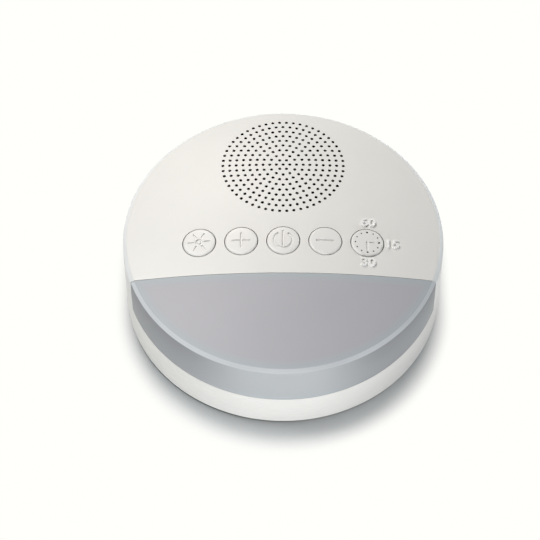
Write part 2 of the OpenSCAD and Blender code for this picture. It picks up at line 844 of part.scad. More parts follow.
// Pressed basket: rim, sloping wall with four windows, ledge for the spider and bottom
module speaker_frame() {
    rim_in = speaker_r - rim_w - 0.4;
    ledge_r = coil_r + 5.8;
    low_r = magnet_d / 2;
    color("dimgray") at_speaker() translate([0, 0, speaker_z]) difference() {
        revolve([
            [speaker_r, 0], [speaker_r, -frame_t], [rim_in, -frame_t],
            [ledge_r, spider_z - frame_t], [low_r, spider_z - frame_t],
            [low_r, basket_z - frame_t], [coil_r + 0.9, basket_z - frame_t],
            [coil_r + 0.9, basket_z], [low_r - frame_t, basket_z],
            [low_r - frame_t, spider_z], [ledge_r - 0.3, spider_z],
            [rim_in - 0.6, 0]
        ]);
        for (a = [45:90:315]) rotate(a)
            block([ledge_r - 1, speaker_r - rim_w - 0.6], [-4.5, 4.5], [spider_z + 0.8, -1.4]);
    }
}

module speaker_surround() {
    outer = speaker_ring_in - fit_gap;
    roll_in = cone_r + 0.5;
    roll_out = speaker_r - rim_w - 0.3;
    mid = (roll_in + roll_out) / 2;
    half = (roll_out - roll_in) / 2;
    color("black") at_speaker() translate([0, 0, speaker_z]) revolve(concat(
        [[outer, 0], [outer, surround_t]],
        [for (p = arc(0, 0, 1, 0, 180, 10))
            [mid + (half - surround_t / 2) * p[0] + surround_t / 2 * p[0],
                surround_t + (surround_rise - surround_t) * p[1] + surround_t * p[1] * 0.5]],
        [[cone_r - 0.5, surround_t], [cone_r - 0.5, 0]],
        [for (p = arc(0, 0, 1, 180, 0, 10))
            [mid + (half - surround_t) * p[0], (surround_rise - surround_t) * p[1]]]
    ));
}

// Paper cone with a flat edge under the surround and a neck round the voice coil
module speaker_cone() {
    neck = coil_r + coil_t;
    color("darkslategray") at_speaker() translate([0, 0, speaker_z - fit_gap]) revolve([
        [neck + fit_gap, -cone_depth - 1], [neck + fit_gap + cone_t, -cone_depth - 1],
        [neck + fit_gap + cone_t, -cone_depth - cone_t / 2],
        [cone_r - 0.6, -cone_t], [cone_r + 0.4, -cone_t], [cone_r + 0.4, 0],
        [cone_r - 0.8, 0], [neck + fit_gap, -cone_depth + cone_t / 2]
    ]);
}

module speaker_dust_cap() {
    cap_r = coil_r + 1.6;
    rise = 1.6;
    sphere_r = (cap_r * cap_r + rise * rise) / (2 * rise);
    neck = coil_r + coil_t + fit_gap;
    top = -cone_depth + cone_t / 2;
    seat = top * (cone_r - 0.8 - cap_r) / (cone_r - 0.8 - neck);
    color("black") at_speaker() translate([0, 0, speaker_z + seat]) intersection() {
        translate([0, 0, rise - sphere_r]) difference() {
            sphere(r = sphere_r, $fn = fine);
            sphere(r = sphere_r - 0.3, $fn = fine);
        }
        cylinder(r = cap_r + over, h = rise + over, $fn = fine);
    }
}

module voice_coil() {
    color("peru") at_speaker() translate([0, 0, speaker_z + coil_bottom])
        ring(coil_r + coil_t, coil_r, coil_top - coil_bottom);
}

// Corrugated damper between the voice coil and the basket's ledge
module speaker_spider() {
    r0 = coil_r + coil_t + fit_gap;
    r1 = coil_r + 5.2;
    steps = 24;
    t = 0.25;
    function wave(i) = [r0 + (r1 - r0) * i / steps, 0.3 * (1 - cos(360 * 3 * i / steps))];
    color("goldenrod") at_speaker() translate([0, 0, speaker_z + spider_z + fit_gap]) revolve(concat(
        [for (i = [0:steps]) wave(i)],
        [for (i = [steps:-1:0]) wave(i) + [0, t]]
    ));
}

module speaker_top_plate() {
    color("gray") at_speaker() translate([0, 0, speaker_z + magnet_z])
        ring(magnet_d / 2, coil_r + coil_t + air_gap, top_plate_t);
}

module speaker_magnet() {
    color("dimgray") at_speaker() translate([0, 0, speaker_z + yoke_z])
        ring(magnet_d / 2, coil_r + 1.2, magnet_t);
}

module speaker_yoke() {
    color("gray") at_speaker() translate([0, 0, speaker_z + yoke_z - yoke_t]) {
        cylinder(d = magnet_d - 0.8, h = yoke_t, $fn = fine);
        cylinder(r = coil_r - air_gap, h = yoke_t + magnet_t + top_plate_t, $fn = fine);
    }
}

// Solder tags on a small plate at the side of the basket
module speaker_terminals() {
    ledge_r = coil_r + 5.8;
    color("tan") at_speaker() translate([0, 0, speaker_z + spider_z - frame_t]) rotate(235)
        block([magnet_d / 2 + 0.2, ledge_r + 2.5], [-4, 4], [-1, 0]);
}

module speaker_screws() {
    color("silver") at_speaker_screws() translate([0, 0, speaker_z - frame_t]) screw(washer_screw);
}

// ---------------------------------------------------------------- power

// Pouch cell with rounded sides
module battery_cell() {
    r = battery_t / 2;
    color("silver") translate([0, battery_front + battery_w / 2, battery_z + r])
        rotate([90, 0, 90]) translate([0, 0, -battery_l / 2])
            linear_extrude(battery_l) polygon(racetrack(battery_w, battery_t, 6));
}

module battery_tape() {
    color("black") block([-battery_l / 2 + 4, battery_l / 2 - 4],
        [battery_front + 5, battery_front + battery_w - 5], [floor_z, battery_z]);
}

module battery_protection_board() {
    color("goldenrod") block([battery_l / 2, battery_l / 2 + protection_w],
        [battery_front + 3, battery_front + battery_w - 3],
        [battery_z + 0.8, battery_z + battery_t - 0.8]);
}

module charge_board() {
    color("seagreen") difference() {
        block([-charge_board_half_w, charge_board_half_w], [charge_board_front, charge_board_back],
            [charge_board_z, charge_board_z + board_t]);
        for (sx = [-1, 1]) translate([sx * charge_screw_x, charge_screw_y, 0])
            cylinder(d = short_screw[0] + 0.6, h = body_h, $fn = small);
    }
}

module charge_board_screws() {
    color("silver") for (sx = [-1, 1])
        translate([sx * charge_screw_x, charge_screw_y, charge_board_z + board_t])
            mirror([0, 0, 1]) screw(short_screw);
}

module charge_chip() {
    color("dimgray") block([-2.5, 2.5], [chip_back - 3.9, chip_back],
        [charge_board_z + board_t, charge_board_z + board_t + charge_chip_h]);
}

// Socket shell, open towards the back and closed inside
module usb_socket() {
    color("silver") translate([0, usb_mouth, usb_z]) rotate([90, 0, 0]) difference() {
        linear_extrude(usb_l) polygon(racetrack(usb_w, usb_h));
        translate([0, 0, -over]) linear_extrude(usb_l - usb_wall + over)
            polygon(racetrack(usb_w - 2 * usb_wall, usb_h - 2 * usb_wall));
    }
}

module usb_tongue() {
    color("dimgray") translate([0, usb_mouth, usb_z])
        block([-3.35, 3.35], [-usb_l + usb_wall, -1.2], [-0.35, 0.35]);
}

module battery_lead() { lead(battery_lead_path, ["firebrick", "dimgray"]); }
module charge_lead() { lead(charge_lead_path, ["firebrick", "dimgray"]); }
module speaker_lead() { lead(speaker_lead_path, ["firebrick", "dimgray"]); }
module light_lead() { lead(light_lead_path, ["firebrick", "dimgray"]); }

upper_housing();
night_light_diffuser();
base_shell();
rubber_feet();
housing_screws();
light_button();
volume_up_button();
power_button();
volume_down_button();
timer_button();
timer_light_pipes();
plunger(-2);  // light_switch_plunger
plunger(-1);  // volume_up_switch_plunger
plunger(0);  // power_switch_plunger
plunger(1);  // volume_down_switch_plunger
plunger(2);  // timer_switch_plunger
switch_bodies();
timer_leds();
main_board();
board_screws();
board_chips();
board_capacitors();
lead_sockets();
lead_plugs();
light_baffle();
light_board();
night_light_leds();
light_board_screws();
dust_cloth();
speaker_gasket();
speaker_frame();
speaker_surround();
speaker_cone();
speaker_dust_cap();
voice_coil();
speaker_spider();
speaker_top_plate();
speaker_magnet();
speaker_yoke();
speaker_terminals();
speaker_screws();
battery_cell();
battery_tape();
battery_protection_board();
charge_board();
charge_board_screws();
charge_chip();
usb_socket();
usb_tongue();
battery_lead();
charge_lead();
speaker_lead();
light_lead();
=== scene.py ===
import json
from math import asin, atan2, cos, hypot, pi, radians, sin, sqrt

import bmesh
import bpy
from mathutils import Matrix, Vector


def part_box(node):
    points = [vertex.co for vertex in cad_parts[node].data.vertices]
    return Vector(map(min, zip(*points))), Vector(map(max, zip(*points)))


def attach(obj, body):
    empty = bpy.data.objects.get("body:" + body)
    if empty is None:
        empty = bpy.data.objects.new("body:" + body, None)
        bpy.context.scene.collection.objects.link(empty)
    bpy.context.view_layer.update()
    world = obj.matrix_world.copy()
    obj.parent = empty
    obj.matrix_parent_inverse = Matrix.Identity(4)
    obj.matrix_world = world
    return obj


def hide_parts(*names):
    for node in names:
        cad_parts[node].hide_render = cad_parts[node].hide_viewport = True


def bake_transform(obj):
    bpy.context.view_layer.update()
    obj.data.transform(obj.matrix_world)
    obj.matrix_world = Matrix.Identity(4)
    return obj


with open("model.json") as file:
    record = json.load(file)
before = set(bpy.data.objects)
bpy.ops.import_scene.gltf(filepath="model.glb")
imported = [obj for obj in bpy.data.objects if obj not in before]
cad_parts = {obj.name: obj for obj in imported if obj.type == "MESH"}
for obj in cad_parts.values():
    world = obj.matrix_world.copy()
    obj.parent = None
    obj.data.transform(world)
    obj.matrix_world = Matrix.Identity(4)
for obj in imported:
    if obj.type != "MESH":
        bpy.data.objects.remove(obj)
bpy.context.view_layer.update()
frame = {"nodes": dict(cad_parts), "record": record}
scene = bpy.context.scene
scene.view_settings.view_transform = "Standard"
mm = 0.001
skin = 0.01 * mm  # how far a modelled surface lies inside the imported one
grow = 0.4 * mm  # how far a packed shell's skin moves out before the smooth outside trims it
slotOf = {part["node"]: part["material_slot"] for part in frame["record"]["subparts"]}
bodyOf = {node: key for key, nodes in frame["record"]["behaviour"]["bodies"].items() for node in nodes}

# the body: a drum with a domed top and a bevelled rim
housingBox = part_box("upper_housing")
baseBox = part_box("base_shell")
body = {
    "radius": housingBox[1][0],
    "peak": housingBox[1][2],
    "domeRise": 4.4 * mm,
    "rimBevel": 1.1 * mm,
    "upperLow": housingBox[0][2],
    "seam": housingBox[0][2] - 0.1 * mm,
    "bottom": baseBox[0][2],
    "chord": housingBox[0][1],
}
rimRadius = body["radius"] - body["rimBevel"]
rimTop = body["peak"] - body["domeRise"]
rimLow = rimTop - body["rimBevel"]
domeRadius = (rimRadius ** 2 + body["domeRise"] ** 2) / (2 * body["domeRise"])
domeCentre = body["peak"] - domeRadius


def domeHeight(x, y):
    return domeCentre + sqrt(domeRadius ** 2 - x * x - y * y)


def domeFrame(x, y, lift=0.0):
    # a frame on the dome, with its z square to the surface and its y towards the back
    up = Vector((x, y, domeHeight(x, y) - domeCentre)).normalized()
    side = Vector((0, 1, 0)).cross(up).normalized()
    turn = Matrix((side, up.cross(side), up)).transposed().to_4x4()
    return Matrix.Translation(Vector((x, y, domeHeight(x, y))) + up * lift) @ turn


# mesh helpers
def pieceName(node):
    words = node.split("_")
    return words[0] + "".join(w.title() for w in words[1:])


def closeMesh(bm):
    bmesh.ops.remove_doubles(bm, verts=bm.verts, dist=0.0005 * mm)
    bmesh.ops.recalc_face_normals(bm, faces=bm.faces)


def cadCopy(node):
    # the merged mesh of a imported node
    bm = bmesh.new()
    bm.from_mesh(frame["nodes"][node].data)
    bmesh.ops.remove_doubles(bm, verts=bm.verts, dist=0.0005 * mm)
    return bm


def addObject(name, bm):
    mesh = bpy.data.meshes.new(name)
    bm.to_mesh(mesh)
    bm.free()
    piece = bpy.data.objects.new(name, mesh)
    scene.collection.objects.link(piece)
    return piece


def meshOf(piece):
    # takes an object's mesh back and removes the object
    bm = bmesh.new()
    bm.from_mesh(piece.data)
    bpy.data.objects.remove(piece)
    return bm


def joinInto(whole, bm, vec=(0, 0, 0)):
    # adds one mesh, moved, to another
    bmesh.ops.translate(bm, verts=bm.verts, vec=vec)
    part = addObject("part", bm)
    whole.from_mesh(part.data)
    bpy.data.objects.remove(part)


def copies(master, places):
    # one mesh with the master at every place
    bm = bmesh.new()
    for place in places:
        mesh = master.data.copy()
        mesh.transform(place)
        bm.from_mesh(mesh)
        bpy.data.meshes.remove(mesh)
    bpy.data.objects.remove(master)
    return bm


def bakeModifiers(piece):
    bpy.context.view_layer.update()
    shaped = piece.evaluated_get(bpy.context.evaluated_depsgraph_get())
    mesh = bpy.data.meshes.new_from_object(shaped)
    piece.modifiers.clear()
    piece.data = mesh


def soften(piece, width, segments=3, angle=50):
    edge = piece.modifiers.new("soft", "BEVEL")
    edge.width = width
    edge.segments = segments
    edge.limit_method = "ANGLE"
    edge.angle_limit = radians(angle)
    bakeModifiers(piece)


def combine(piece, bm, operation, solver="MANIFOLD"):
    # joins, cuts or trims the piece with the closed shapes in bm
    tool = addObject("tool", bm)
    merge = piece.modifiers.new("merge", "BOOLEAN")
    merge.operation = operation
    merge.solver = solver
    merge.object = tool
    bakeModifiers(piece)
    bpy.data.objects.remove(tool)


def cutOut(piece, bm, *moves):
    # cuts a closed shape out of the piece, once its moves have put it in place
    for move in moves:
        bmesh.ops.transform(bm, matrix=move, verts=bm.verts)
    closeMesh(bm)
    combine(piece, bm, "DIFFERENCE")


def smoothByAngle(piece, angle):
    bm = bmesh.new()
    bm.from_mesh(piece.data)
    for f in bm.faces:
        f.smooth = True
    for e in bm.edges:
        e.smooth = e.is_manifold and e.calc_face_angle(0) < radians(angle)
    bm.to_mesh(piece.data)
    bm.free()


def finishPiece(piece, slot, bodyName="case", finishes=(), angle=30):
    # takes the slot's own finish, unless others are given for its faces to choose from
    if piece.data.materials:
        piece.data.materials.clear()
    for finish in finishes or [slotFinish[slot]]:
        piece.data.materials.append(finish.material)
    smoothByAngle(piece, angle)
    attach(piece, bodyName)


def standFor(piece, node, finishes=(), angle=30):
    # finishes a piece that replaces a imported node
    finishPiece(piece, slotOf[node], bodyOf[node], finishes, angle)
    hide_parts(node)


def startProfile(bm, *points):
    # a chain of vertices in the xz plane; each point is a radius and a height
    chain = bmesh.ops.create_vert(bm, co=(points[0][0], 0, points[0][1]))["vert"]
    return chain + extendProfile(bm, chain[0], *points[1:])


def extendProfile(bm, vert, *points):
    made = []
    for r, z in points:
        vert = bmesh.ops.extrude_vert_indiv(bm, verts=[vert])["verts"][0]
        vert.co = (r, 0, z)
        made.append(vert)
    return made


def roundCorner(bm, vert, radius, segments):
    bmesh.ops.bevel(
        bm, geom=[vert], offset=radius, offset_type="OFFSET", affect="VERTICES",
        segments=segments, profile=0.5, material=-1,
    )


def spinRound(bm, steps):
    bmesh.ops.spin(
        bm, geom=bm.verts[:] + bm.edges[:], cent=(0, 0, 0), axis=(0, 0, 1), angle=2 * pi,
        steps=steps, use_merge=True, use_duplicate=False,
    )
    closeMesh(bm)


def turned(steps, *points):
    # a solid turned from a profile of radii and heights that starts and ends on the axis
    bm = bmesh.new()
    startProfile(bm, *points)
    spinRound(bm, steps)
    return bm


def turnedRing(steps, points):
    # a ring turned from a closed profile
    bm = bmesh.new()
    chain = startProfile(bm, *points)
    bm.edges.new((chain[-1], chain[0]))
    spinRound(bm, steps)
    return bm


def solids(bm):
    # the vertices of each separate solid
    left, found = set(bm.verts), []
    while left:
        reached = [left.pop()]
        for v in reached:
            near = {e.other_vert(v) for e in v.link_edges} & left
            left -= near
            reached += near
        found.append(reached)
    return found


def solidBoxes(node):
    # the box of each separate solid of a node
    bm = cadCopy(node)
    boxes = []
    for solid in solids(bm):
        low = Vector([min(v.co[i] for v in solid) for i in range(3)])
        high = Vector([max(v.co[i] for v in solid) for i in range(3)])
        boxes.append((low, high))
    bm.free()
    return sorted(boxes, key=lambda box: tuple(round(c, 5) for c in box[0]))


def standing(boxes):
    # an upright place at the foot of each box
    return [Matrix.Translation(((a.x + b.x) / 2, (a.y + b.y) / 2, a.z)) for a, b in boxes]


def block(bm, low, high, edge=0.0, segments=2):
    # a block between two corners, with rounded edges
    size = Vector(high) - Vector(low)
    centre = (Vector(high) + Vector(low)) / 2
    place = Matrix.Translation(centre) @ Matrix.Diagonal((*size, 1))
    made = bmesh.ops.create_cube(bm, size=1, matrix=place)["verts"]
    if edge:
        edges = list({e for v in made for e in v.link_edges})
        bmesh.ops.bevel(
            bm, geom=edges, offset=edge, affect="EDGES", segments=segments, profile=0.5, material=-1,
        )


def cone(bm, segments, lowRadius, highRadius, depth, place):
    bmesh.ops.create_cone(
        bm, cap_ends=True, segments=segments, radius1=lowRadius, radius2=highRadius, depth=depth, matrix=place,
    )


def newVerts(made):
    return [g for g in made["geom"] if isinstance(g, bmesh.types.BMVert)]


def markFaces(piece, index, test):
    # gives the faces that pass the test another of the piece's finishes
    for face in piece.data.polygons:
        if test(face.center, face.normal):
            face.material_index = index


class Finish:
    # short calls for building one material's nodes
    def __init__(self, name):
        self.material = bpy.data.materials.new(name)
        self.material.use_nodes = True
        self.tree = self.material.node_tree
        self.surface = self.tree.nodes["Principled BSDF"]
        self.output = self.tree.nodes["Material Output"]
        self.point = self.add("ShaderNodeTexCoord").outputs["Object"]

    def add(self, kind, values=None, **settings):
        node = self.tree.nodes.new(kind)
        for key, value in settings.items():
            setattr(node, key, value)
        for key, value in (values or {}).items():
            self.feed(value, node.inputs[key])
        return node

    def feed(self, value, socket):
        if isinstance(value, bpy.types.NodeSocket):
            self.tree.links.new(value, socket)
        else:
            socket.default_value = value

    def set(self, **values):
        for key, value in values.items():
            self.feed(value, self.surface.inputs[socketNames[key]])

    def place(self):
        return self.add("ShaderNodeSeparateXYZ", {0: self.point}).outputs

    def stretch(self, scale, shift=(0, 0, 0)):
        values = {"Vector": self.point, "Scale": scale, "Location": shift}
        return self.add("ShaderNodeMapping", values).outputs[0]

    def measure(self, a, b=(0, 0, 0), operation="LENGTH"):
        return self.add("ShaderNodeVectorMath", {0: a, 1: b}, operation=operation).outputs["Value"]

    def fromAxis(self, shift=(0, 0, 0)):
        # how far out from the upright axis
        return self.measure(self.stretch((1, 1, 0), shift))

    def noise(self, scale, detail=2.0, point=None):
        values = {"Vector": point or self.point, "Scale": scale, "Detail": detail}
        return self.add("ShaderNodeTexNoise", values).outputs["Fac"]

    def cells(self, scale, output="Distance", **more):
        return self.add("ShaderNodeTexVoronoi", {"Vector": self.point, "Scale": scale, **more}).outputs[output]

    def bands(self, pitch, direction):
        # waves that repeat every pitch metres along an axis
        values = {"Vector": self.point, "Scale": 2 * pi / (20 * pitch)}
        return self.add("ShaderNodeTexWave", values, bands_direction=direction).outputs["Fac"]

    def math(self, operation, a, b=0.0):
        return self.add("ShaderNodeMath", {0: a, 1: b}, operation=operation).outputs[0]

    def times(self, a, b):
        return self.math("MULTIPLY", a, b)

    def most(self, a, b):
        return self.math("MAXIMUM", a, b)

    def without(self, a, b):
        return self.times(a, self.math("SUBTRACT", 1.0, b))

    def spread(self, value, start, end, low=0.0, high=1.0, smooth=False):
        kind = "SMOOTHSTEP" if smooth else "LINEAR"
        values = {0: value, 1: start, 2: end, 3: low, 4: high}
        return self.add("ShaderNodeMapRange", values, interpolation_type=kind).outputs[0]

    def mix(self, factor, a, b, blend="MIX"):
        node = self.add("ShaderNodeMix", {0: factor, 6: a, 7: b}, data_type="RGBA", blend_type=blend)
        return node.outputs[2]

    def bump(self, height, distance, strength=1.0):
        # each bump is laid over the ones before it
        values = {"Height": height, "Distance": distance, "Strength": strength}
        if self.surface.inputs["Normal"].links:
            values["Normal"] = self.surface.inputs["Normal"].links[0].from_socket
        self.set(normal=self.add("ShaderNodeBump", values).outputs["Normal"])

    def lay(self, tone, low, high, rough, *bumps, **more):
        # a colour between two by the tone; rough is a value, or a pattern and its two ends
        if isinstance(rough, tuple):
            rough = self.spread(rough[0], 0.3, 0.7, *rough[1:])
        self.set(color=self.mix(tone, shade(low), shade(high)), roughness=rough, **more)
        for bump in bumps:
            self.bump(*bump)
        return self


socketNames = {
    "color": "Base Color", "roughness": "Roughness", "metallic": "Metallic", "normal": "Normal",
    "specular": "Specular IOR Level", "coat": "Coat Weight", "coatRoughness": "Coat Roughness",
    "sheen": "Sheen Weight", "subsurface": "Subsurface Weight", "subsurfaceScale": "Subsurface Scale",
    "subsurfaceRadius": "Subsurface Radius",
}


def shade(color, factor=1.0):
    return (color[0] * factor, color[1] * factor, color[2] * factor, 1)


# camera, floor and lights
view = {
    "place": (-1.964 * mm, -381.134 * mm, 557.157 * mm),
    "target": (0, 0, 15.5 * mm),
    "lens": 155.285,
    "roll": 0.265,
    "shift": (-0.02427, -0.02129),
}


def aimed(place, target):
    turn = (Vector(target) - Vector(place)).to_track_quat("-Z", "Y").to_matrix().to_4x4()
    return Matrix.Translation(Vector(place)) @ turn


def makeCamera():
    data = bpy.data.cameras.new("viewCamera")
    data.sensor_width = 36
    data.lens = view["lens"]
    data.shift_x, data.shift_y = view["shift"]
    data.clip_start = 0.01
    camera = bpy.data.objects.new("viewCamera", data)
    scene.collection.objects.link(camera)
    camera.matrix_world = aimed(view["place"], view["target"]) @ Matrix.Rotation(radians(view["roll"]), 4, "Z")
    scene.camera = camera


floorLook = {
    "paper": (0.935, 0.955, 0.965),
    "shade": (0.075, 0.09, 0.10),
    "white": (1.0, 1.0, 0.965),
    "reach": 11 * mm,  # how far the painted contact shadow spreads
    "lean": (1.42, 0.62),  # the painted shadow's strength on the left and on the right
    "middle": (-7 * mm, 8 * mm),  # the shadow's middle runs from here to here along y
    "fade": (41 * mm, 49 * mm),  # beyond the middle, the paper turns to plain white between these
}


def makeFloor():
    paper = Finish("floorPaper")
    paper.tree.nodes.remove(paper.surface)
    path = paper.add("ShaderNodeLightPath").outputs
    seen = paper.most(paper.most(path["Is Camera Ray"], path["Is Glossy Ray"]), path["Is Transmission Ray"])
    # the contact shadow is painted into the paper: ambient occlusion turns it towards the shade colour, more
    # strongly on the left
    contact = paper.add("ShaderNodeAmbientOcclusion", {"Distance": floorLook["reach"]}, samples=12)
    place = paper.place()
    lean = paper.spread(place["X"], -body["radius"], body["radius"], *floorLook["lean"])
    paintedShadow = paper.times(seen, paper.without(lean, contact.outputs["AO"]))
    tone = paper.mix(paper.math("MINIMUM", paintedShadow, 1.0), shade(floorLook["paper"]), shade(floorLook["shade"]))
    matt = paper.add("ShaderNodeBsdfDiffuse", {"Color": tone})
    glow = paper.add("ShaderNodeEmission", {"Color": shade(floorLook["white"]), "Strength": 1.0})
    front, back = floorLook["middle"]
    ahead = paper.math("MINIMUM", paper.math("SUBTRACT", place["Y"], front), 0.0)
    behind = paper.most(paper.math("SUBTRACT", place["Y"], back), 0.0)
    across = paper.add("ShaderNodeCombineXYZ", {0: place["X"], 1: paper.math("ADD", ahead, behind)})
    far = paper.spread(paper.measure(across.outputs[0]), *floorLook["fade"], smooth=True)
    both = paper.add("ShaderNodeMixShader", {0: paper.times(seen, far), 1: matt.outputs[0], 2: glow.outputs[0]})
    paper.feed(both.outputs[0], paper.output.inputs["Surface"])
    bm = bmesh.new()
    bmesh.ops.create_grid(bm, x_segments=1, y_segments=1, size=4)
    floor = addObject("floorPaper", bm)
    floor.data.materials.append(paper.material)


# place, size, watts and colour
lamps = {
    "topLamp": ((-0.135, 0.05, 0.31), (0.16, 0.16), 0.69, (1, 0.985, 0.965)),
    "keyLamp": ((-0.10, 0.42, 0.42), (0.18, 0.18), 0.92, (1, 0.94, 0.88)),
    "frontStrip": ((-0.006, -0.20, 0.048), (0.075, 0.05), 0.165, (1, 1, 1)),
    "sideStrip": ((0.32, -0.22, 0.04), (0.20, 0.05), 0.13, (0.97, 0.98, 1)),
    "rightStrip": ((0.34, 0.19, 0.07), (0.20, 0.06), 0.335, (0.93, 0.97, 1)),
}
lampTarget = (0, 0, 20 * mm)
worldLook = {"sky": (0.95, 0.98, 1.0), "level": 0.15, "white": (1.0, 1.0, 0.965)}


def makeLights():
    for name, (place, size, watts, color) in lamps.items():
        data = bpy.data.lights.new(name, "AREA")
        data.shape = "RECTANGLE"
        data.size, data.size_y = size
        data.energy = watts
        data.color = color
        light = bpy.data.objects.new(name, data)
        scene.collection.objects.link(light)
        light.matrix_world = aimed(place, lampTarget)
    world = bpy.data.worlds.new("studio")
    scene.world = world
    world.use_nodes = True
    nodes, links = world.node_tree.nodes, world.node_tree.links
    sky = nodes["Background"]
    sky.inputs["Color"].default_value = shade(worldLook["sky"])
    sky.inputs["Strength"].default_value = worldLook["level"]
    white = nodes.new("ShaderNodeBackground")
    white.inputs["Color"].default_value = shade(worldLook["white"])
    path = nodes.new("ShaderNodeLightPath")
    mix = nodes.new("ShaderNodeMixShader")
    links.new(path.outputs["Is Camera Ray"], mix.inputs[0])
    links.new(sky.outputs[0], mix.inputs[1])
    links.new(white.outputs[0], mix.inputs[2])
    links.new(mix.outputs[0], nodes["World Output"].inputs["Surface"])


makeCamera()
makeFloor()
makeLights()
print("camera, floor and lights ready")

buttons = ("light", "volume_up", "power", "volume_down", "timer")
capLook = {
    "radius": 4.55 * mm, "gap": 0.2 * mm, "proud": 0.42 * mm, "crown": 75 * mm, "edge": 0.5 * mm,
    "flange": 5.35 * mm, "flangeTop": 2.8 * mm, "holeEdge": 0.05 * mm,
}
capPlaces = {}
for button in buttons:
    # a cap's flange is cut flat at the back, so its centre comes from its front
    low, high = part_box(button + "_button")
    capPlaces[button] = (low[0] + high[0]) / 2, low[1] + capLook["flange"], low[2]

grille = {
    "middle": 23 * mm, "rings": 9, "pitch": 1.91 * mm, "hole": 0.4 * mm, "mouth": 0.485 * mm, "lead": 0.12 * mm,
}

# finishes of the outside
shellColor = (0.785, 0.78, 0.755)
# a painted highlight on the housing's rim bevel, paler and bluer than the shell
paintedRimHighlight = (0.80, 0.825, 0.83)
# painted shade on the walls of the holes: its colour, the depths where it starts and ends, where it weakens
# outside the grille, and where it stops near the rim
paintedHoleShade = {
    "color": (0.03, 0.03, 0.03), "starts": (0.01 * mm, 0.1 * mm), "ends": (1.95 * mm, 1.9 * mm),
    "grilleEdge": (18.6 * mm, 18.4 * mm), "beyond": 0.35, "rimEdge": (42.5 * mm, 42 * mm),
}
# where the painted rim highlight starts and is full, and how it fades out below the rim
paintedRimReach = {"starts": 0.02 * mm, "full": 0.1 * mm, "fade": 3 * mm, "below": 0.25}
turnedLook = {
    "height": (1.2 * mm, 1.8 * mm), "inside": (0.3 * mm, 0.1 * mm), "pitch": 1.45 * mm, "deep": 0.09 * mm,
}
# the cover's own tones, and the colours of its painted glow on the edges, its painted highlight on the bevel and
# its painted shade at the ends of the side band
frostToneAndPaintedLight = {
    "middle": (0.437, 0.435, 0.468), "side": (0.415, 0.435, 0.45), "edge": (0.42, 0.46, 0.49),
    "ends": (0.325, 0.34, 0.36), "endTop": (0.25, 0.26, 0.28),
    "rim": (0.535, 0.56, 0.58), "rimEnds": (0.63, 0.66, 0.69),
    "byRim": 3.2 * mm, "byChord": (3.6 * mm, 0.3 * mm), "bySeam": 2.5 * mm, "endsFrom": (8 * mm, 30 * mm),
}


def mouldedPlastic(name, color, roughness, grain=0.35, uneven=0.02, **more):
    # a fine spark-eroded grain, a faint flow mottle and a slightly uneven gloss
    finish = Finish(name)
    fine = finish.noise(3500)
    rough = (fine, roughness - 0.05, roughness + 0.05)
    low, high = shade(color, 1 - uneven), shade(color, 1 + uneven)
    return finish.lay(finish.noise(120, 3), low, high, rough, (fine, 0.01 * mm, grain), **more)


def housingPlastic():
    # the moulded plastic, with painted shade where the walls of the holes go down into the shell, and a painted
    # highlight on the rim bevel
    finish = mouldedPlastic("housingPlastic", shellColor, 0.42)
    skinColor = finish.surface.inputs["Base Color"].links[0].from_socket
    depth = finish.math("SUBTRACT", domeRadius, finish.measure(finish.point, (0, 0, domeCentre), "DISTANCE"))
    radius = finish.fromAxis()
    fromGrille = finish.fromAxis((0, -grille["middle"], 0))
    # painted shade down the walls of the holes, weaker outside the grille
    hole = finish.times(
        finish.times(finish.spread(depth, *paintedHoleShade["starts"]), finish.spread(depth, *paintedHoleShade["ends"])),
        finish.times(
            finish.spread(fromGrille, *paintedHoleShade["grilleEdge"], paintedHoleShade["beyond"], 1.0),
            finish.spread(radius, *paintedHoleShade["rimEdge"]),
        ),
    )
    # the painted highlight on the rim bevel, fading out below the rim
    onRim = finish.spread(radius, rimRadius + paintedRimReach["starts"], rimRadius + paintedRimReach["full"])
    height = finish.place()["Z"]
    onRim = finish.times(
        onRim, finish.spread(height, rimLow - paintedRimReach["fade"], rimLow, paintedRimReach["below"], 1.0, smooth=True),
    )
    finish.set(color=finish.mix(hole, finish.mix(onRim, skinColor, shade(paintedRimHighlight)), shade(paintedHoleShade["color"])))
    return finish


def basePlastic():
    # the moulded plastic with faint turning lines round the side
    finish = mouldedPlastic("basePlastic", shellColor, 0.42)
    onSide = finish.spread(finish.place()["Z"], *turnedLook["height"])
    start, end = (body["radius"] - inside for inside in turnedLook["inside"])
    onSide = finish.times(onSide, finish.spread(finish.fromAxis(), start, end))
    lines = finish.times(finish.bands(turnedLook["pitch"], "Z"), onSide)
    finish.bump(finish.math("POWER", lines, 4.0), turnedLook["deep"], 0.9)
    return finish


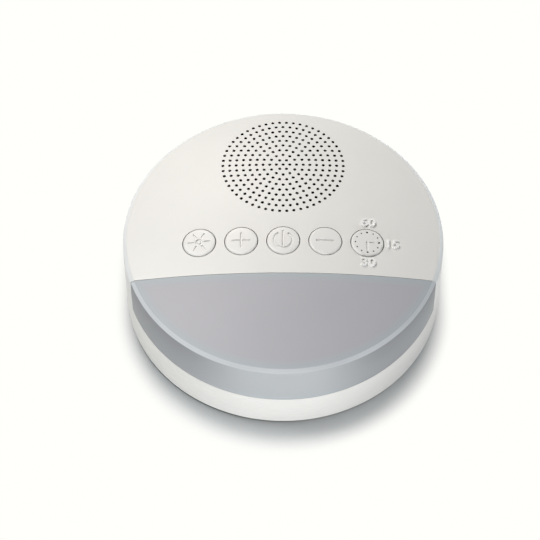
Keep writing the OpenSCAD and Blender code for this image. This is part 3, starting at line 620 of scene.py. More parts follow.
def frostedPlastic():
    # frosted light cover: a painted glow makes its edges paler and bluer where light gathers in them, painted
    # shade darkens the side band towards both ends, and a painted highlight lies on its bevel, paler towards the
    # ends
    look = {key: shade(value) for key, value in frostToneAndPaintedLight.items() if isinstance(value, tuple) and len(value) == 3}
    finish = Finish("frostedPlastic")
    place = finish.place()
    radius = finish.fromAxis()
    start, end = (body["chord"] - width for width in frostToneAndPaintedLight["byChord"])
    nearRim = finish.spread(radius, rimRadius - frostToneAndPaintedLight["byRim"], rimRadius, smooth=True)
    nearChord = finish.spread(place["Y"], start, end, smooth=True)
    nearSeam = finish.spread(place["Z"], body["upperLow"] + frostToneAndPaintedLight["bySeam"], body["upperLow"], smooth=True)
    onSide = finish.spread(place["Z"], rimLow + 0.1 * mm, rimLow)
    # painted glow along the rim, the chord and the seam
    top = finish.without(finish.most(nearRim, nearChord), onSide)
    edge = finish.most(top, finish.times(nearSeam, 0.8))
    # painted highlight on the bevel, paler towards the ends
    onRim = finish.without(finish.spread(radius, rimRadius + 0.02 * mm, rimRadius + 0.12 * mm), onSide)
    color = finish.mix(edge, finish.mix(onSide, look["middle"], look["side"]), look["edge"])
    ends = finish.spread(finish.math("ABSOLUTE", place["X"]), *frostToneAndPaintedLight["endsFrom"], smooth=True)
    color = finish.mix(onRim, color, finish.mix(ends, look["rim"], look["rimEnds"]))
    # painted shade at the side band's ends, darker towards the top
    paintedEndShade = finish.mix(finish.spread(place["Z"], body["seam"], rimLow), look["ends"], look["endTop"])
    color = finish.mix(finish.times(ends, onSide), color, paintedEndShade)
    cloud = finish.mix(finish.noise(70), (0.975, 0.975, 0.975, 1), (1.02, 1.02, 1.02, 1))
    fine = finish.noise(3800)
    finish.set(
        color=finish.mix(1.0, color, cloud, "MULTIPLY"),
        roughness=finish.spread(fine, 0.3, 0.7, 0.46, 0.54),
        subsurface=0.15, subsurfaceRadius=(1, 1, 1), subsurfaceScale=0.8 * mm,
    )
    finish.bump(fine, 0.01 * mm, 0.3)
    return finish


# finishes of the inside
def brushedMetal(name, color, roughness, along=(400, 400, 6000)):
    finish = Finish(name)
    strokes = finish.noise(1, 4, finish.stretch(along))
    rough = finish.spread(strokes, 0.25, 0.75, roughness - 0.1, roughness + 0.12)
    low, high = shade(color, 0.86), shade(color, 1.04)
    return finish.lay(finish.noise(260, 3), low, high, rough, (strokes, 0.004 * mm, 0.4), metallic=1.0)


def wovenCloth(name, color, pitch, rough=0.9, sheen=0.3):
    # warp and weft on a square count, with a few slubs
    finish = Finish(name)
    over = finish.times(finish.bands(pitch, "X"), finish.bands(pitch, "Y"))
    slub = finish.noise(700, 3, finish.stretch((0.25, 1, 1)))
    tone = finish.times(over, finish.spread(slub, 0.3, 0.7, 0.7, 1.2))
    return finish.lay(tone, shade(color, 0.45), shade(color, 1.35), rough, (over, 0.05 * mm, 0.9), sheen=sheen)


def pressedPaper(name, color):
    # short fibres lying every way in a pressed pulp
    finish = Finish(name)
    along, across = (finish.noise(1500, 4, finish.stretch(way)) for way in ((0.2, 1, 1), (1, 0.2, 1)))
    fibres = finish.most(along, across)
    return finish.lay(fibres, shade(color, 0.6), shade(color, 1.9), 0.88, (fibres, 0.03 * mm, 0.7))


def softRubber(name, color, rough=0.72):
    finish = Finish(name)
    bloom = finish.noise(180, 3)
    rough = (bloom, rough - 0.08, rough + 0.1)
    grain = (finish.noise(2600), 0.02 * mm, 0.4)
    return finish.lay(bloom, shade(color, 0.9), shade(color, 1.12), rough, grain, sheen=0.15)


def cellFoam(name, color):
    finish = Finish(name)
    cells = finish.cells(3200)
    return finish.lay(cells, shade(color, 0.5), shade(color, 1.6), 0.95, (cells, 0.06 * mm, 0.8))


def solderMask(name, mask, track):
    # copper tracks, round vias and poured areas show raised and paler under the resist
    finish = Finish(name)
    values = {
        "Vector": finish.stretch((0.33, 1, 1)), "Scale": 400, "Mortar Size": 0.05, "Mortar Smooth": 0.1,
        "Row Height": 0.5, "Brick Width": 0.9,
    }
    tracks = finish.add("ShaderNodeTexBrick", values).outputs["Fac"]
    broken = finish.math("LESS_THAN", finish.noise(170, 0), 0.5)
    vias = finish.math("LESS_THAN", finish.cells(390, Randomness=0.35), 0.13)
    poured = finish.spread(finish.noise(90, 0), 0.54, 0.545, 0.0, 0.6)
    copper = finish.most(finish.times(tracks, broken), finish.most(vias, poured))
    return finish.lay(copper, mask, track, 0.32, (copper, 0.03 * mm, 0.6), coat=0.3, coatRoughness=0.25)


def powderCoat(name, color):
    finish = Finish(name)
    peel = finish.noise(1100)
    return finish.lay(peel, shade(color, 0.8), shade(color, 1.3), (peel, 0.38, 0.55), (peel, 0.05 * mm, 0.6))


def sinteredFerrite():
    finish = Finish("sinteredFerrite")
    grain = finish.noise(900, 4)
    rough = finish.spread(finish.cells(1800, "Color"), 0.0, 1.0, 0.45, 0.7)
    return finish.lay(
        grain, (0.035, 0.035, 0.04), (0.11, 0.11, 0.12), rough, (grain, 0.03 * mm, 0.5), metallic=0.3,
    )


def woundCopper():
    # turns of enamelled wire
    finish = Finish("woundCopper")
    turns = finish.bands(0.13 * mm, "Z")
    return finish.lay(
        turns, (0.30, 0.10, 0.035), (0.80, 0.40, 0.17), 0.28, (turns, 0.05 * mm, 1.0), metallic=0.9, coat=0.5,
    )


def pouchFoil():
    # laminated foil drawn over the cell, with soft creases and small pressed dimples
    finish = Finish("pouchFoil")
    creases = finish.noise(60, 4, finish.stretch((1, 2.5, 1)))
    bumps = (creases, 0.4 * mm, 0.5), (finish.cells(900), 0.02 * mm, 0.3)
    return finish.lay(
        creases, (0.58, 0.59, 0.61), (0.80, 0.81, 0.83), (creases, 0.28, 0.48), *bumps, metallic=0.85,
    )


def amberTape():
    finish = Finish("amberTape")
    wrinkles = finish.noise(220, 3, finish.stretch((3, 1, 1)))
    return finish.lay(
        wrinkles, (0.50, 0.28, 0.03), (0.78, 0.52, 0.10), 0.2, (wrinkles, 0.08 * mm, 0.6),
        coat=0.8, coatRoughness=0.12,
    )


def phosphorFace():
    finish = Finish("phosphorFace")
    specks = finish.noise(5200)
    return finish.lay(
        specks, (0.80, 0.62, 0.10), (0.95, 0.80, 0.24), 0.35, (specks, 0.01 * mm, 0.5),
        subsurface=0.2, subsurfaceRadius=(1, 0.8, 0.3), subsurfaceScale=0.2 * mm,
    )


holedPlasticPaintedLight = housingPlastic()
linedPlastic = basePlastic()
# the shell's plastic, painted lighter as a painted highlight on the raised figures
numeralPlastic = mouldedPlastic("numeralPlastic", (0.87, 0.87, 0.86), 0.3, grain=0.2)
# painted shade for the hour pits of the clock face
dotPaint = mouldedPlastic("dotPaint", (0.20, 0.20, 0.21), 0.55, grain=0.2)
canSleeve = mouldedPlastic("canSleeve", (0.02, 0.03, 0.06), 0.3, uneven=0.1)
blackWire = softRubber("blackInsulation", (0.025, 0.025, 0.027), 0.45)
goldPlate = brushedMetal("goldPlate", (0.90, 0.68, 0.28), 0.22)
tinPlate = brushedMetal("tinPlate", (0.72, 0.72, 0.72), 0.3)
phosphor = phosphorFace()
slotFinish = {
    "shell_white": mouldedPlastic("shellPlastic", shellColor, 0.42),
    "cap_white": mouldedPlastic("capPlastic", (0.79, 0.785, 0.765), 0.34),
    "diffuser_frosted": frostedPlastic(),
    "light_pipe": mouldedPlastic("smokedAcrylic", (0.012, 0.012, 0.014), 0.28, grain=0.05, specular=0.3),
    "foot_rubber": softRubber("footRubber", (0.50, 0.50, 0.50)),
    "screw_steel": brushedMetal("zincPlate", (0.62, 0.62, 0.64), 0.3),
    "steel_plate": brushedMetal("platedSteel", (0.52, 0.52, 0.54), 0.36, (3000, 3000, 300)),
    "plunger_black": mouldedPlastic("plungerNylon", (0.05, 0.05, 0.05), 0.45, uneven=0.15),
    "switch_black": mouldedPlastic("switchNylon", (0.045, 0.045, 0.05), 0.5, uneven=0.15),
    "lamp_body": mouldedPlastic("lampBody", (0.86, 0.85, 0.80), 0.4),
    "board_green": solderMask("greenMask", (0.012, 0.12, 0.045), (0.022, 0.17, 0.065)),
    "board_white": solderMask("whiteMask", (0.80, 0.80, 0.78), (0.84, 0.84, 0.82)),
    "chip_black": mouldedPlastic("chipEpoxy", (0.028, 0.028, 0.03), 0.6, grain=0.8, uneven=0.2),
    "capacitor_can": brushedMetal("canAluminium", (0.78, 0.78, 0.80), 0.3, (3000, 3000, 500)),
    "socket_ivory": mouldedPlastic("socketNylon", (0.80, 0.75, 0.60), 0.4, uneven=0.05),
    "plug_white": mouldedPlastic("plugNylon", (0.84, 0.83, 0.79), 0.42, uneven=0.04),
    "baffle_white": mouldedPlastic("baffleWhite", (0.88, 0.88, 0.86), 0.65, grain=0.6),
    "cloth_black": wovenCloth("dustCloth", (0.03, 0.03, 0.032), 0.32 * mm),
    "gasket_foam": cellFoam("gasketFoam", (0.06, 0.06, 0.06)),
    "basket_black": powderCoat("basketCoat", (0.04, 0.04, 0.042)),
    "surround_rubber": softRubber("surroundRubber", (0.03, 0.03, 0.03), 0.6),
    "cone_paper": pressedPaper("conePaper", (0.07, 0.07, 0.075)),
    "coil_copper": woundCopper(),
    "spider_cloth": wovenCloth("spiderCloth", (0.58, 0.40, 0.16), 0.4 * mm, 0.8, 0.1),
    "magnet_ferrite": sinteredFerrite(),
    "terminal_board": pressedPaper("phenolicBoard", (0.42, 0.27, 0.12)),
    "cell_foil": pouchFoil(),
    "tape_foam": cellFoam("tapeFoam", (0.05, 0.05, 0.05)),
    "polyimide_tape": amberTape(),
    "socket_steel": brushedMetal("nickelPlate", (0.66, 0.65, 0.62), 0.26, (400, 6000, 400)),
    "tongue_black": mouldedPlastic("tongueNylon", (0.035, 0.035, 0.035), 0.4, uneven=0.2),
    "wire_insulation": softRubber("redInsulation", (0.42, 0.03, 0.03), 0.45),
}
for node, slot in slotOf.items():
    materials = frame["nodes"][node].data.materials
    materials.clear()
    materials.append(slotFinish[slot].material)
print("finishes ready")

# the three shells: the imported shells, trimmed by a smooth outside with soft edges
shells = {"rings": 56, "sides": 300, "soft": 0.14 * mm, "edge": 0.12 * mm, "core": 44 * mm, "round": 0.6 * mm}
near = 0.05 * mm


def upperOutside(inset=skin):
    bm = bmesh.new()
    side = body["radius"] - inset
    low = body["upperLow"] + inset
    rim = rimTop - inset
    tip = startProfile(bm, (0, body["peak"] - inset))[0]
    arc = bmesh.ops.spin(
        bm, geom=[tip], cent=(0, 0, domeCentre), axis=(0, 1, 0), steps=shells["rings"],
        angle=asin(rimRadius / domeRadius), use_duplicate=False,
    )
    last = next(g for g in arc["geom_last"] if isinstance(g, bmesh.types.BMVert))
    corner = extendProfile(bm, last, (side, rim - body["rimBevel"]), (side, low))[1]
    extendProfile(bm, corner, (shells["core"], low), (shells["core"], 0), (0, 0))
    roundCorner(bm, corner, shells["edge"], 3)
    spinRound(bm, shells["sides"])
    return bm


def baseOutside():
    bm = bmesh.new()
    side, core = body["radius"] - skin, shells["core"]
    top, low, over = body["seam"] - skin, body["bottom"] + skin, 20 * mm
    points = startProfile(bm, (0, low), (side, low), (side, top), (core, top), (core, over), (0, over))
    roundCorner(bm, points[1], shells["round"], 8)
    roundCorner(bm, points[2], shells["edge"], 3)
    spinRound(bm, shells["sides"])
    return bm


def softSide(y, side):
    # the outside of the drum behind (1) or in front of (-1) a plane across y, with soft edges
    bm = upperOutside()
    bmesh.ops.bisect_plane(
        bm, geom=bm.verts[:] + bm.edges[:] + bm.faces[:], dist=0.0001 * mm,
        plane_co=(0, y, 0), plane_no=(0, -side, 0), clear_outer=True,
    )
    closeRim(bm)
    tool = addObject("tool", bm)
    soften(tool, shells["soft"], angle=20)
    return tool


def swell(bm):
    # moves the skin of a packed shell outwards, so that the smooth outside alone gives the surface
    for v in bm.verts:
        x, y, z = v.co
        r = hypot(x, y)
        onSide = r > body["radius"] - near
        onRim = r > rimRadius - near and r + z > rimRadius + rimTop - near
        onTop = r <= rimRadius + near and z > domeHeight(x, y) - near
        if onSide or onRim:
            v.co.x += grow * x / r
            v.co.y += grow * y / r
        if onTop or onRim:
            v.co.z += grow


def drawRim(bm):
    # extrudes the open rim, and gives its new vertices to be moved
    return newVerts(bmesh.ops.extrude_edge_only(bm, edges=[e for e in bm.edges if e.is_boundary]))


def closeRim(bm):
    bmesh.ops.holes_fill(bm, edges=[e for e in bm.edges if e.is_boundary], sides=0)
    closeMesh(bm)


def makeHousing():
    shell = cadCopy("upper_housing")
    swell(shell)
    for v in shell.verts:
        if v.co.y < body["chord"] + skin:
            v.co.y -= grow
    piece = addObject("housingShell", shell)
    combine(piece, meshOf(softSide(body["chord"] + skin, 1)), "INTERSECT")
    mouths, edges = bmesh.new(), bmesh.new()
    wide = grille["mouth"] * 2 - grille["hole"]
    for ring in range(grille["rings"] + 1):
        count, reach = max(1, 6 * ring), ring * grille["pitch"]
        for a in (2 * pi * k / count for k in range(count)):
            place = domeFrame(reach * cos(a), grille["middle"] + reach * sin(a))
            cone(mouths, 14, grille["hole"], wide, 2 * grille["lead"], place)
    hole, lead = capLook["radius"] + capLook["gap"], capLook["holeEdge"]
    for x, y, low in capPlaces.values():
        cone(edges, 96, hole - lead, hole + 2 * lead, 3 * lead, domeFrame(x, y, lead / 2))
    combine(piece, mouths, "DIFFERENCE")
    combine(piece, edges, "DIFFERENCE")
    standFor(piece, "upper_housing", [holedPlasticPaintedLight])


def makeLightCover():
    # the tongue runs on under the housing, inside a smaller drum
    shell = cadCopy("night_light_diffuser")
    swell(shell)
    piece = addObject("lightCover", shell)
    outside = softSide(body["chord"] - 0.1 * mm - skin, -1)
    combine(outside, upperOutside(0.6 * mm), "UNION")
    combine(piece, meshOf(outside), "INTERSECT")
    standFor(piece, "night_light_diffuser")


def makeBase():
    shell = cadCopy("base_shell")
    inner, high = body["radius"] - shells["round"], body["bottom"] + shells["round"]
    for v in shell.verts:
        r = hypot(v.co.x, v.co.y)
        if r > inner - skin and v.co.z < high + skin or r > body["radius"] - near:
            v.co.x += grow * v.co.x / r
            v.co.y += grow * v.co.y / r
        if v.co.z < body["bottom"] + near or r > inner - skin and v.co.z < high - near:
            v.co.z -= grow
    piece = addObject("baseShell", shell)
    combine(piece, baseOutside(), "INTERSECT")
    standFor(piece, "base_shell", [linedPlastic])


makeHousing()
makeLightCover()
makeBase()
print("shells made")

# the caps, with their signs cut into them
signs = {
    "stroke": 0.34 * mm, "wide": 0.46 * mm, "narrow": 0.33, "depth": 0.42 * mm, "above": 1 * mm,
    "dot": 0.25 * mm, "dotDepth": 0.45 * mm, "dotCircle": 3.32 * mm, "arm": 2.35 * mm,
    "sun": 0.75 * mm, "rays": (1.6 * mm, 2.95 * mm), "power": 2.6 * mm, "bar": (-1.9 * mm, 2.9 * mm),
    "longHand": 2.2 * mm, "shortHand": (0.6 * mm, 1.8 * mm), "thin": 0.18 * mm,
}


def crownCentre(cx, cy):
    up = Vector((cx, cy, domeHeight(cx, cy) - domeCentre)).normalized()
    return Vector((0, 0, domeCentre)) + up * (domeRadius + capLook["proud"] - capLook["crown"])


def capOutside(button):
    # the crown and its rounded edge from inset rings, then the side, then room for the flange
    cx, cy, low = capPlaces[button]
    centre = crownCentre(cx, cy)
    radius, edge, turns, rings = capLook["radius"] - skin, capLook["edge"], 7, 9
    steps = [edge * (cos(pi / 2 * (k - 1) / turns) - cos(pi / 2 * k / turns)) for k in range(1, turns + 1)]
    bm = bmesh.new()
    bmesh.ops.create_circle(bm, cap_ends=True, segments=96, radius=radius)
    top = bm.faces[:]
    for step in steps + [(radius - edge) / (rings + 1)] * rings:
        bmesh.ops.inset_region(bm, faces=top, thickness=step, use_boundary=True, use_even_offset=True)
    bmesh.ops.poke(bm, faces=top)
    for v in bm.verts:
        out = min(max(0.0, hypot(v.co.x, v.co.y) - (radius - edge)), edge)
        drop = edge - sqrt(edge ** 2 - out ** 2)
        v.co += Vector((cx, cy, 0))
        aside = (v.co - centre).to_2d().length
        v.co.z = centre.z + sqrt(capLook["crown"] ** 2 - aside ** 2) - drop - skin
    flangeTop = low + capLook["flangeTop"] + 5 * skin
    for scale, height in ((1, flangeTop), (1.4, flangeTop), (1, low - 0.5 * mm)):
        for v in drawRim(bm):
            v.co = (cx + (v.co.x - cx) * scale, cy + (v.co.y - cy) * scale, height)
    closeRim(bm)
    return bm


def strokeCutter(start, end, half=signs["stroke"], depth=signs["depth"]):
    # a groove with round ends and sloping walls: its narrow floor, drawn up to the surface and beyond
    along = Vector((*end, 0)) - Vector((*start, 0))
    bm = bmesh.new()
    bmesh.ops.create_circle(bm, cap_ends=True, segments=24, radius=half * signs["narrow"])
    for v in bm.verts:
        v.co += Vector((along.length if v.co.x > 0.01 * half else 0, 0, -depth))
    for height, wider in ((0, 1 / signs["narrow"]), (signs["above"], 1)):
        for v in drawRim(bm):
            middle = along.length if v.co.x > along.length / 2 else 0
            v.co = (middle + (v.co.x - middle) * wider, v.co.y * wider, height)
    closeRim(bm)
    turn = Matrix.Translation((*start, 0)) @ Matrix.Rotation(atan2(along.y, along.x), 4, "Z")
    bmesh.ops.transform(bm, matrix=turn, verts=bm.verts)
    return bm


def crossCutters(reach, half, depth):
    # two grooves across each other
    return [strokeCutter(-way * reach, way * reach, half, depth) for way in (Vector((1, 0)), Vector((0, 1)))]


def arcCutter(radius, start, end, steps, half=signs["stroke"]):
    # a groove along an arc or a full ring, spun from its section
    narrow, deep, above = half * signs["narrow"], -signs["depth"], signs["above"]
    bm = bmesh.new()
    for x, z in ((-narrow, deep), (narrow, deep), (half, 0), (half, above), (-half, above), (-half, 0)):
        bmesh.ops.create_vert(bm, co=(radius + x, 0, z))
    face = bmesh.ops.contextual_create(bm, geom=bm.verts)["faces"]
    bmesh.ops.rotate(bm, verts=bm.verts, cent=(0, 0, 0), matrix=Matrix.Rotation(start, 3, "Z"))
    ring = end - start > 2 * pi - 0.001
    if ring:
        bmesh.ops.delete(bm, geom=face, context="FACES_ONLY")
    bmesh.ops.spin(
        bm, geom=bm.edges[:] if ring else face, cent=(0, 0, 0), axis=(0, 0, 1), angle=end - start,
        steps=steps, use_merge=ring, use_duplicate=False,
    )
    return bm


def sunSign():
    ways = [Matrix.Rotation(radians(60 * k + 3), 2) @ Vector((1, 0)) for k in range(6)]
    inner, outer = signs["rays"]
    return [arcCutter(signs["sun"], 0, 2 * pi, 32)] + [strokeCutter(way * inner, way * outer) for way in ways]


def minusSign():
    return [strokeCutter((-signs["arm"], 0), (signs["arm"], 0))]


def plusSign():
    return minusSign() + [strokeCutter((0, -signs["arm"]), (0, signs["arm"]))]


def powerSign():
    low, high = signs["bar"]
    bar = strokeCutter((0, low), (0, high), signs["wide"])
    return [arcCutter(signs["power"], radians(120), radians(420), 48, signs["wide"]), bar]


def hourPlaces():
    # the hours that have no light pipe
    turns = [Matrix.Rotation(radians(30 * hour), 2) for hour in range(12) if hour not in (0, 3, 9)]
    return [turn @ Vector((signs["dotCircle"], 0)) for turn in turns]


def clockSign():
    # two hands and the hours that have no light pipe
    start, end = signs["shortHand"]
    hands = [
        strokeCutter((0, 0), (0, -signs["longHand"]), signs["wide"]),
        strokeCutter((start, 0), (end, 0), signs["thin"]),
    ]
    return hands + [strokeCutter(way, way * 1.001, signs["dot"], signs["dotDepth"]) for way in hourPlaces()]


def inHourDot(point):
    # the pits of the clock face, which get painted shade
    aside = min((point.to_2d() - way).length for way in hourPlaces())
    return aside < signs["dot"] and -1.1 * signs["dotDepth"] < point.z < -0.25 * signs["dotDepth"]


def makeCaps():
    for button, sign in zip(buttons, (sunSign, plusSign, powerSign, minusSign, clockSign)):
        cap = cadCopy(button + "_button")
        cx, cy, low = capPlaces[button]
        flangeTop = low + capLook["flangeTop"]
        for v in cap.verts:
            r = hypot(v.co.x - cx, v.co.y - cy)
            if v.co.z > flangeTop - skin and abs(r - capLook["radius"]) < 0.1 * mm:
                v.co.x += 0.2 * mm * (v.co.x - cx) / r
                v.co.y += 0.2 * mm * (v.co.y - cy) / r
            if v.co.z > flangeTop + 1 * mm:
                v.co.z += 0.8 * mm
        piece = addObject(pieceName(button) + "Cap", cap)
        combine(piece, capOutside(button), "INTERSECT")
        face = domeFrame(cx, cy, capLook["proud"])
        for groove in sign():
            cutOut(piece, groove, face)
        if button == "timer":
            combine(piece, pipeCollars(), "UNION")
        standFor(piece, button + "_button", [slotFinish["cap_white"], dotPaint])
        if button == "timer":
            toFace = face.inverted()
            # painted shade in the hour pits
            markFaces(piece, 1, lambda centre, normal: inHourDot(toFace @ centre))


pipes = {
    "radius": 0.4 * mm, "tip": 0.27 * mm, "gap": 0.02 * mm, "collar": 0.55 * mm, "deep": 0.6 * mm,
    "under": 0.05 * mm, "soft": 0.03 * mm,
}


def pipePlaces():
    # the middle of each light pipe, its foot, and how high it ends under the cap's face
    centre = crownCentre(*capPlaces["timer"][:2])
    places = []
    for low, high in solidBoxes("timer_light_pipes"):
        x, y = (low.x + high.x) / 2, (low.y + high.y) / 2
        top = centre.z + sqrt(capLook["crown"] ** 2 - (x - centre.x) ** 2 - (y - centre.y) ** 2)
        places.append((x, y, low.z, top - pipes["under"]))
    return places


def pipeCollars():
    # rings that narrow the cap's three holes to the tips of the light pipes
    whole = bmesh.new()
    inner, outer = pipes["tip"] + pipes["gap"], pipes["collar"]
    for x, y, foot, top in pipePlaces():
        low = top - pipes["deep"]
        joinInto(whole, turnedRing(32, [(inner, low), (outer, low), (outer, top), (inner, top)]), (x, y, 0))
    return whole


def makeLightPipes():
    whole = bmesh.new()
    r, tip, soft = pipes["radius"], pipes["tip"], pipes["soft"]
    for x, y, foot, top in pipePlaces():
        shoulder = top - pipes["deep"] - pipes["under"]
        pipe = turned(
            32, (0, foot), (r * 0.85, foot), (r, foot + 2 * soft), (r, shoulder - 0.05 * mm), (r * 0.9, shoulder),
            (tip, shoulder), (tip, top - soft), (tip * 0.85, top), (0, top + 0.02 * mm),
        )
        joinInto(whole, pipe, (x, y, 0))
    standFor(addObject("timerLightPipes", whole), "timer_light_pipes")


makeCaps()
makeLightPipes()
print("caps made")

numerals = {
    "size": 3.6 * mm, "wide": 1.22, "raise": 0.46 * mm, "round": 0.07 * mm, "bold": -0.01 * mm,
    "places": {"60": (23.75 * mm, 2.3 * mm), "15": (30.35 * mm, -4.5 * mm), "30": (23.5 * mm, -11.0 * mm)},
}


def makeNumerals():
    # raised figures round the timer, lighter than the shell's plastic as a painted highlight
    whole = bmesh.new()
    for word, (x, y) in numerals["places"].items():
        curve = bpy.data.curves.new("numeral", "FONT")
        curve.body = word
        curve.size = numerals["size"]
        curve.align_x = "CENTER"
        curve.align_y = "CENTER"
        curve.extrude = numerals["raise"]
        curve.offset = numerals["bold"]
        curve.bevel_depth = numerals["round"]
        curve.bevel_resolution = 2
        curve.resolution_u = 6
        holder = bpy.data.objects.new("numeral", curve)
        scene.collection.objects.link(holder)
        bpy.context.view_layer.update()
        mesh = bpy.data.meshes.new_from_object(holder.evaluated_get(bpy.context.evaluated_depsgraph_get()))
        mesh.transform(domeFrame(x, y) @ Matrix.Diagonal((numerals["wide"], 1, 1, 1)))
        whole.from_mesh(mesh)
        bpy.data.objects.remove(holder)
        bpy.data.curves.remove(curve)
    closeMesh(whole)
    finishPiece(addObject("timerNumerals", whole), "shell_white", finishes=[numeralPlastic])


makeNumerals()
print("numerals made")

# screws: how thick the core is, how high the head, and whether the tip points up
screws = {
    "housing_screws": (1.1 * mm, 1.8 * mm, True),
    "board_screws": (0.8 * mm, 1.1 * mm, True),
    "light_board_screws": (0.8 * mm, 1.1 * mm, False),
    "speaker_screws": (0.8 * mm, 1.0 * mm, True),
    "charge_board_screws": (0.8 * mm, 1.1 * mm, False),
}
threadLook = {"pitch": 0.5, "depth": 0.16, "steps": 18, "lead": 1.2}  # in core radii, but for the steps


def screwMaster(core, headRadius, headHeight, length):
    # points up, with the underside of its head at 0
    root = core * (1 - threadLook["depth"])
    foot, crest = length - core * threadLook["lead"], headHeight * 0.35
    solid = addObject("screw", turned(
        36, (0, -headHeight), (headRadius * 0.55, -headHeight), (headRadius * 0.86, -headHeight * 0.86),
        (headRadius, -crest), (headRadius, -0.08 * headHeight), (headRadius * 0.96, 0), (root, 0),
        (root, foot), (root * 0.3, length), (0, length),
    ))
    pitch = threadLook["pitch"] * 2 * core
    turns = int(foot / pitch)
    ridge = bmesh.new()
    for r, z in ((root * 0.9, 0), (core, 0.16 * pitch), (core, 0.24 * pitch), (root * 0.9, 0.4 * pitch)):
        bmesh.ops.create_vert(ridge, co=(r, 0, z + 0.02 * mm))
    face = bmesh.ops.contextual_create(ridge, geom=ridge.verts)["faces"]
    bmesh.ops.spin(
        ridge, geom=face, cent=(0, 0, 0), axis=(0, 0, 1), angle=2 * pi * turns, use_duplicate=False,
        steps=turns * threadLook["steps"], dvec=(0, 0, pitch / threadLook["steps"]),
    )
    closeMesh(ridge)
    combine(solid, ridge, "UNION", "EXACT")
    for slot in crossCutters(headRadius * 0.5, headRadius * 0.13, headHeight * 0.6):
        cutOut(solid, slot, Matrix.Rotation(pi, 4, "X"), Matrix.Translation((0, 0, -headHeight)))
    return solid


def makeScrews():
    for node, (core, head, tipUp) in screws.items():
        boxes = solidBoxes(node)
        low, high = boxes[0]
        master = screwMaster(core, (high.x - low.x) / 2, head, high.z - low.z - head)
        flip = Matrix() if tipUp else Matrix.Rotation(pi, 4, "X")
        places = []
        for low, high in boxes:
            middle = (low + high) / 2
            middle.z = low.z + head if tipUp else high.z - head
            places.append(Matrix.Translation(middle) @ flip @ Matrix.Rotation(0.7 * len(places), 4, "Z"))
        standFor(addObject(pieceName(node), copies(master, places)), node)


makeScrews()
print("screws made")

chipLook = {
    "pitch": 1.27 * mm, "width": 0.42 * mm, "thick": 0.18 * mm, "edge": 0.08 * mm, "off": 0.12 * mm,
    "leg": ((0, 0.75), (-0.3, 0.75), (-0.55, 0.1), (-1, 0.1)),  # out, down and along the board, in mm
    "dimple": (0.35 * mm, 0.1 * mm), "inset": 0.8 * mm,
}


def gullLeg(bm, place):
    chain = [(0, y * mm, z * mm) for y, z in chipLook["leg"]]
    made = bmesh.ops.create_vert(bm, co=chain[0])["vert"]
    for co in chain[1:]:
        made += bmesh.ops.extrude_vert_indiv(bm, verts=made[-1:])["verts"]
        made[-1].co = co
    edges = list({e for v in made for e in v.link_edges})
    new = newVerts(bmesh.ops.extrude_edge_only(bm, edges=edges))
    bmesh.ops.translate(bm, verts=new, vec=(chipLook["width"], 0, 0))
    bmesh.ops.translate(bm, verts=made + new, vec=(-chipLook["width"] / 2, 0, 0))
    faces = list({f for v in new for f in v.link_faces})
    thick = newVerts(bmesh.ops.solidify(bm, geom=faces, thickness=chipLook["thick"]))
    bmesh.ops.transform(bm, matrix=place, verts=list(set(made + new + thick)))


def makeChips():
    pitch, inset = chipLook["pitch"], chipLook["inset"]
    for node in ("board_chips", "charge_chip"):
        bodies, legs, boxes = bmesh.new(), bmesh.new(), solidBoxes(node)
        for low, high in boxes:
            block(bodies, low + Vector((0, 0, chipLook["off"])), high, chipLook["edge"])
            count = round((high.x - low.x) / pitch)
            for k in range(count):
                x = (low.x + high.x) / 2 + (k - (count - 1) / 2) * pitch
                gullLeg(legs, Matrix.Translation((x, low.y, low.z)))
                gullLeg(legs, Matrix.Translation((x, high.y, low.z)) @ Matrix.Rotation(pi, 4, "Z"))
        piece = addObject(pieceName(node), bodies)
        for low, high in boxes:
            dimple = strokeCutter((0, 0), (0.001 * mm, 0), *chipLook["dimple"])
            cutOut(piece, dimple, Matrix.Translation((low.x + inset, low.y + inset, high.z)))
        bodyFaces = len(piece.data.polygons)
        whole = meshOf(piece)
        closeMesh(legs)
        joinInto(whole, legs)
        piece = addObject(pieceName(node), whole)
        standFor(piece, node, [slotFinish["chip_black"], tinPlate])
        for face in piece.data.polygons[bodyFaces:]:
            face.material_index = 1


makeChips()
print("chips made")

canLook = {"bung": 0.3 * mm, "groove": 0.2 * mm, "rim": 0.45 * mm, "vent": 1.1 * mm, "deep": 0.12 * mm}


def makeCapacitors():
    boxes = solidBoxes("board_capacitors")
    low, high = boxes[0]
    r, h = (high.x - low.x) / 2, high.z - low.z
    groove, rim, deep = canLook["groove"], canLook["rim"], canLook["deep"]
    master = addObject("can", turned(
        48, (0, 0), (r - canLook["bung"], 0), (r - 0.08 * mm, 0.12 * mm), (r, 0.3 * mm), (r, 0.9 * mm),
        (r - 0.6 * groove, 1.02 * mm), (r - groove, 1.15 * mm), (r - 0.6 * groove, 1.28 * mm), (r, 1.4 * mm),
        (r, h - 0.3 * mm), (r - 0.1 * mm, h - 0.08 * mm), (r - 0.3 * mm, h), (r - rim, h),
        (r - rim - 0.1 * mm, h - deep), (0, h - deep),
    ))
    for score in crossCutters(canLook["vent"], deep, deep):
        cutOut(master, score, Matrix.Translation((0, 0, h - deep)))
    piece = addObject("boardCapacitors", copies(master, standing(boxes)))
    standFor(piece, "board_capacitors", [slotFinish["capacitor_can"], canSleeve])
    top = high.z - 0.02 * mm
    markFaces(piece, 1, lambda centre, normal: centre.z < top - 0.1 * mm and abs(normal.z) < 0.8)


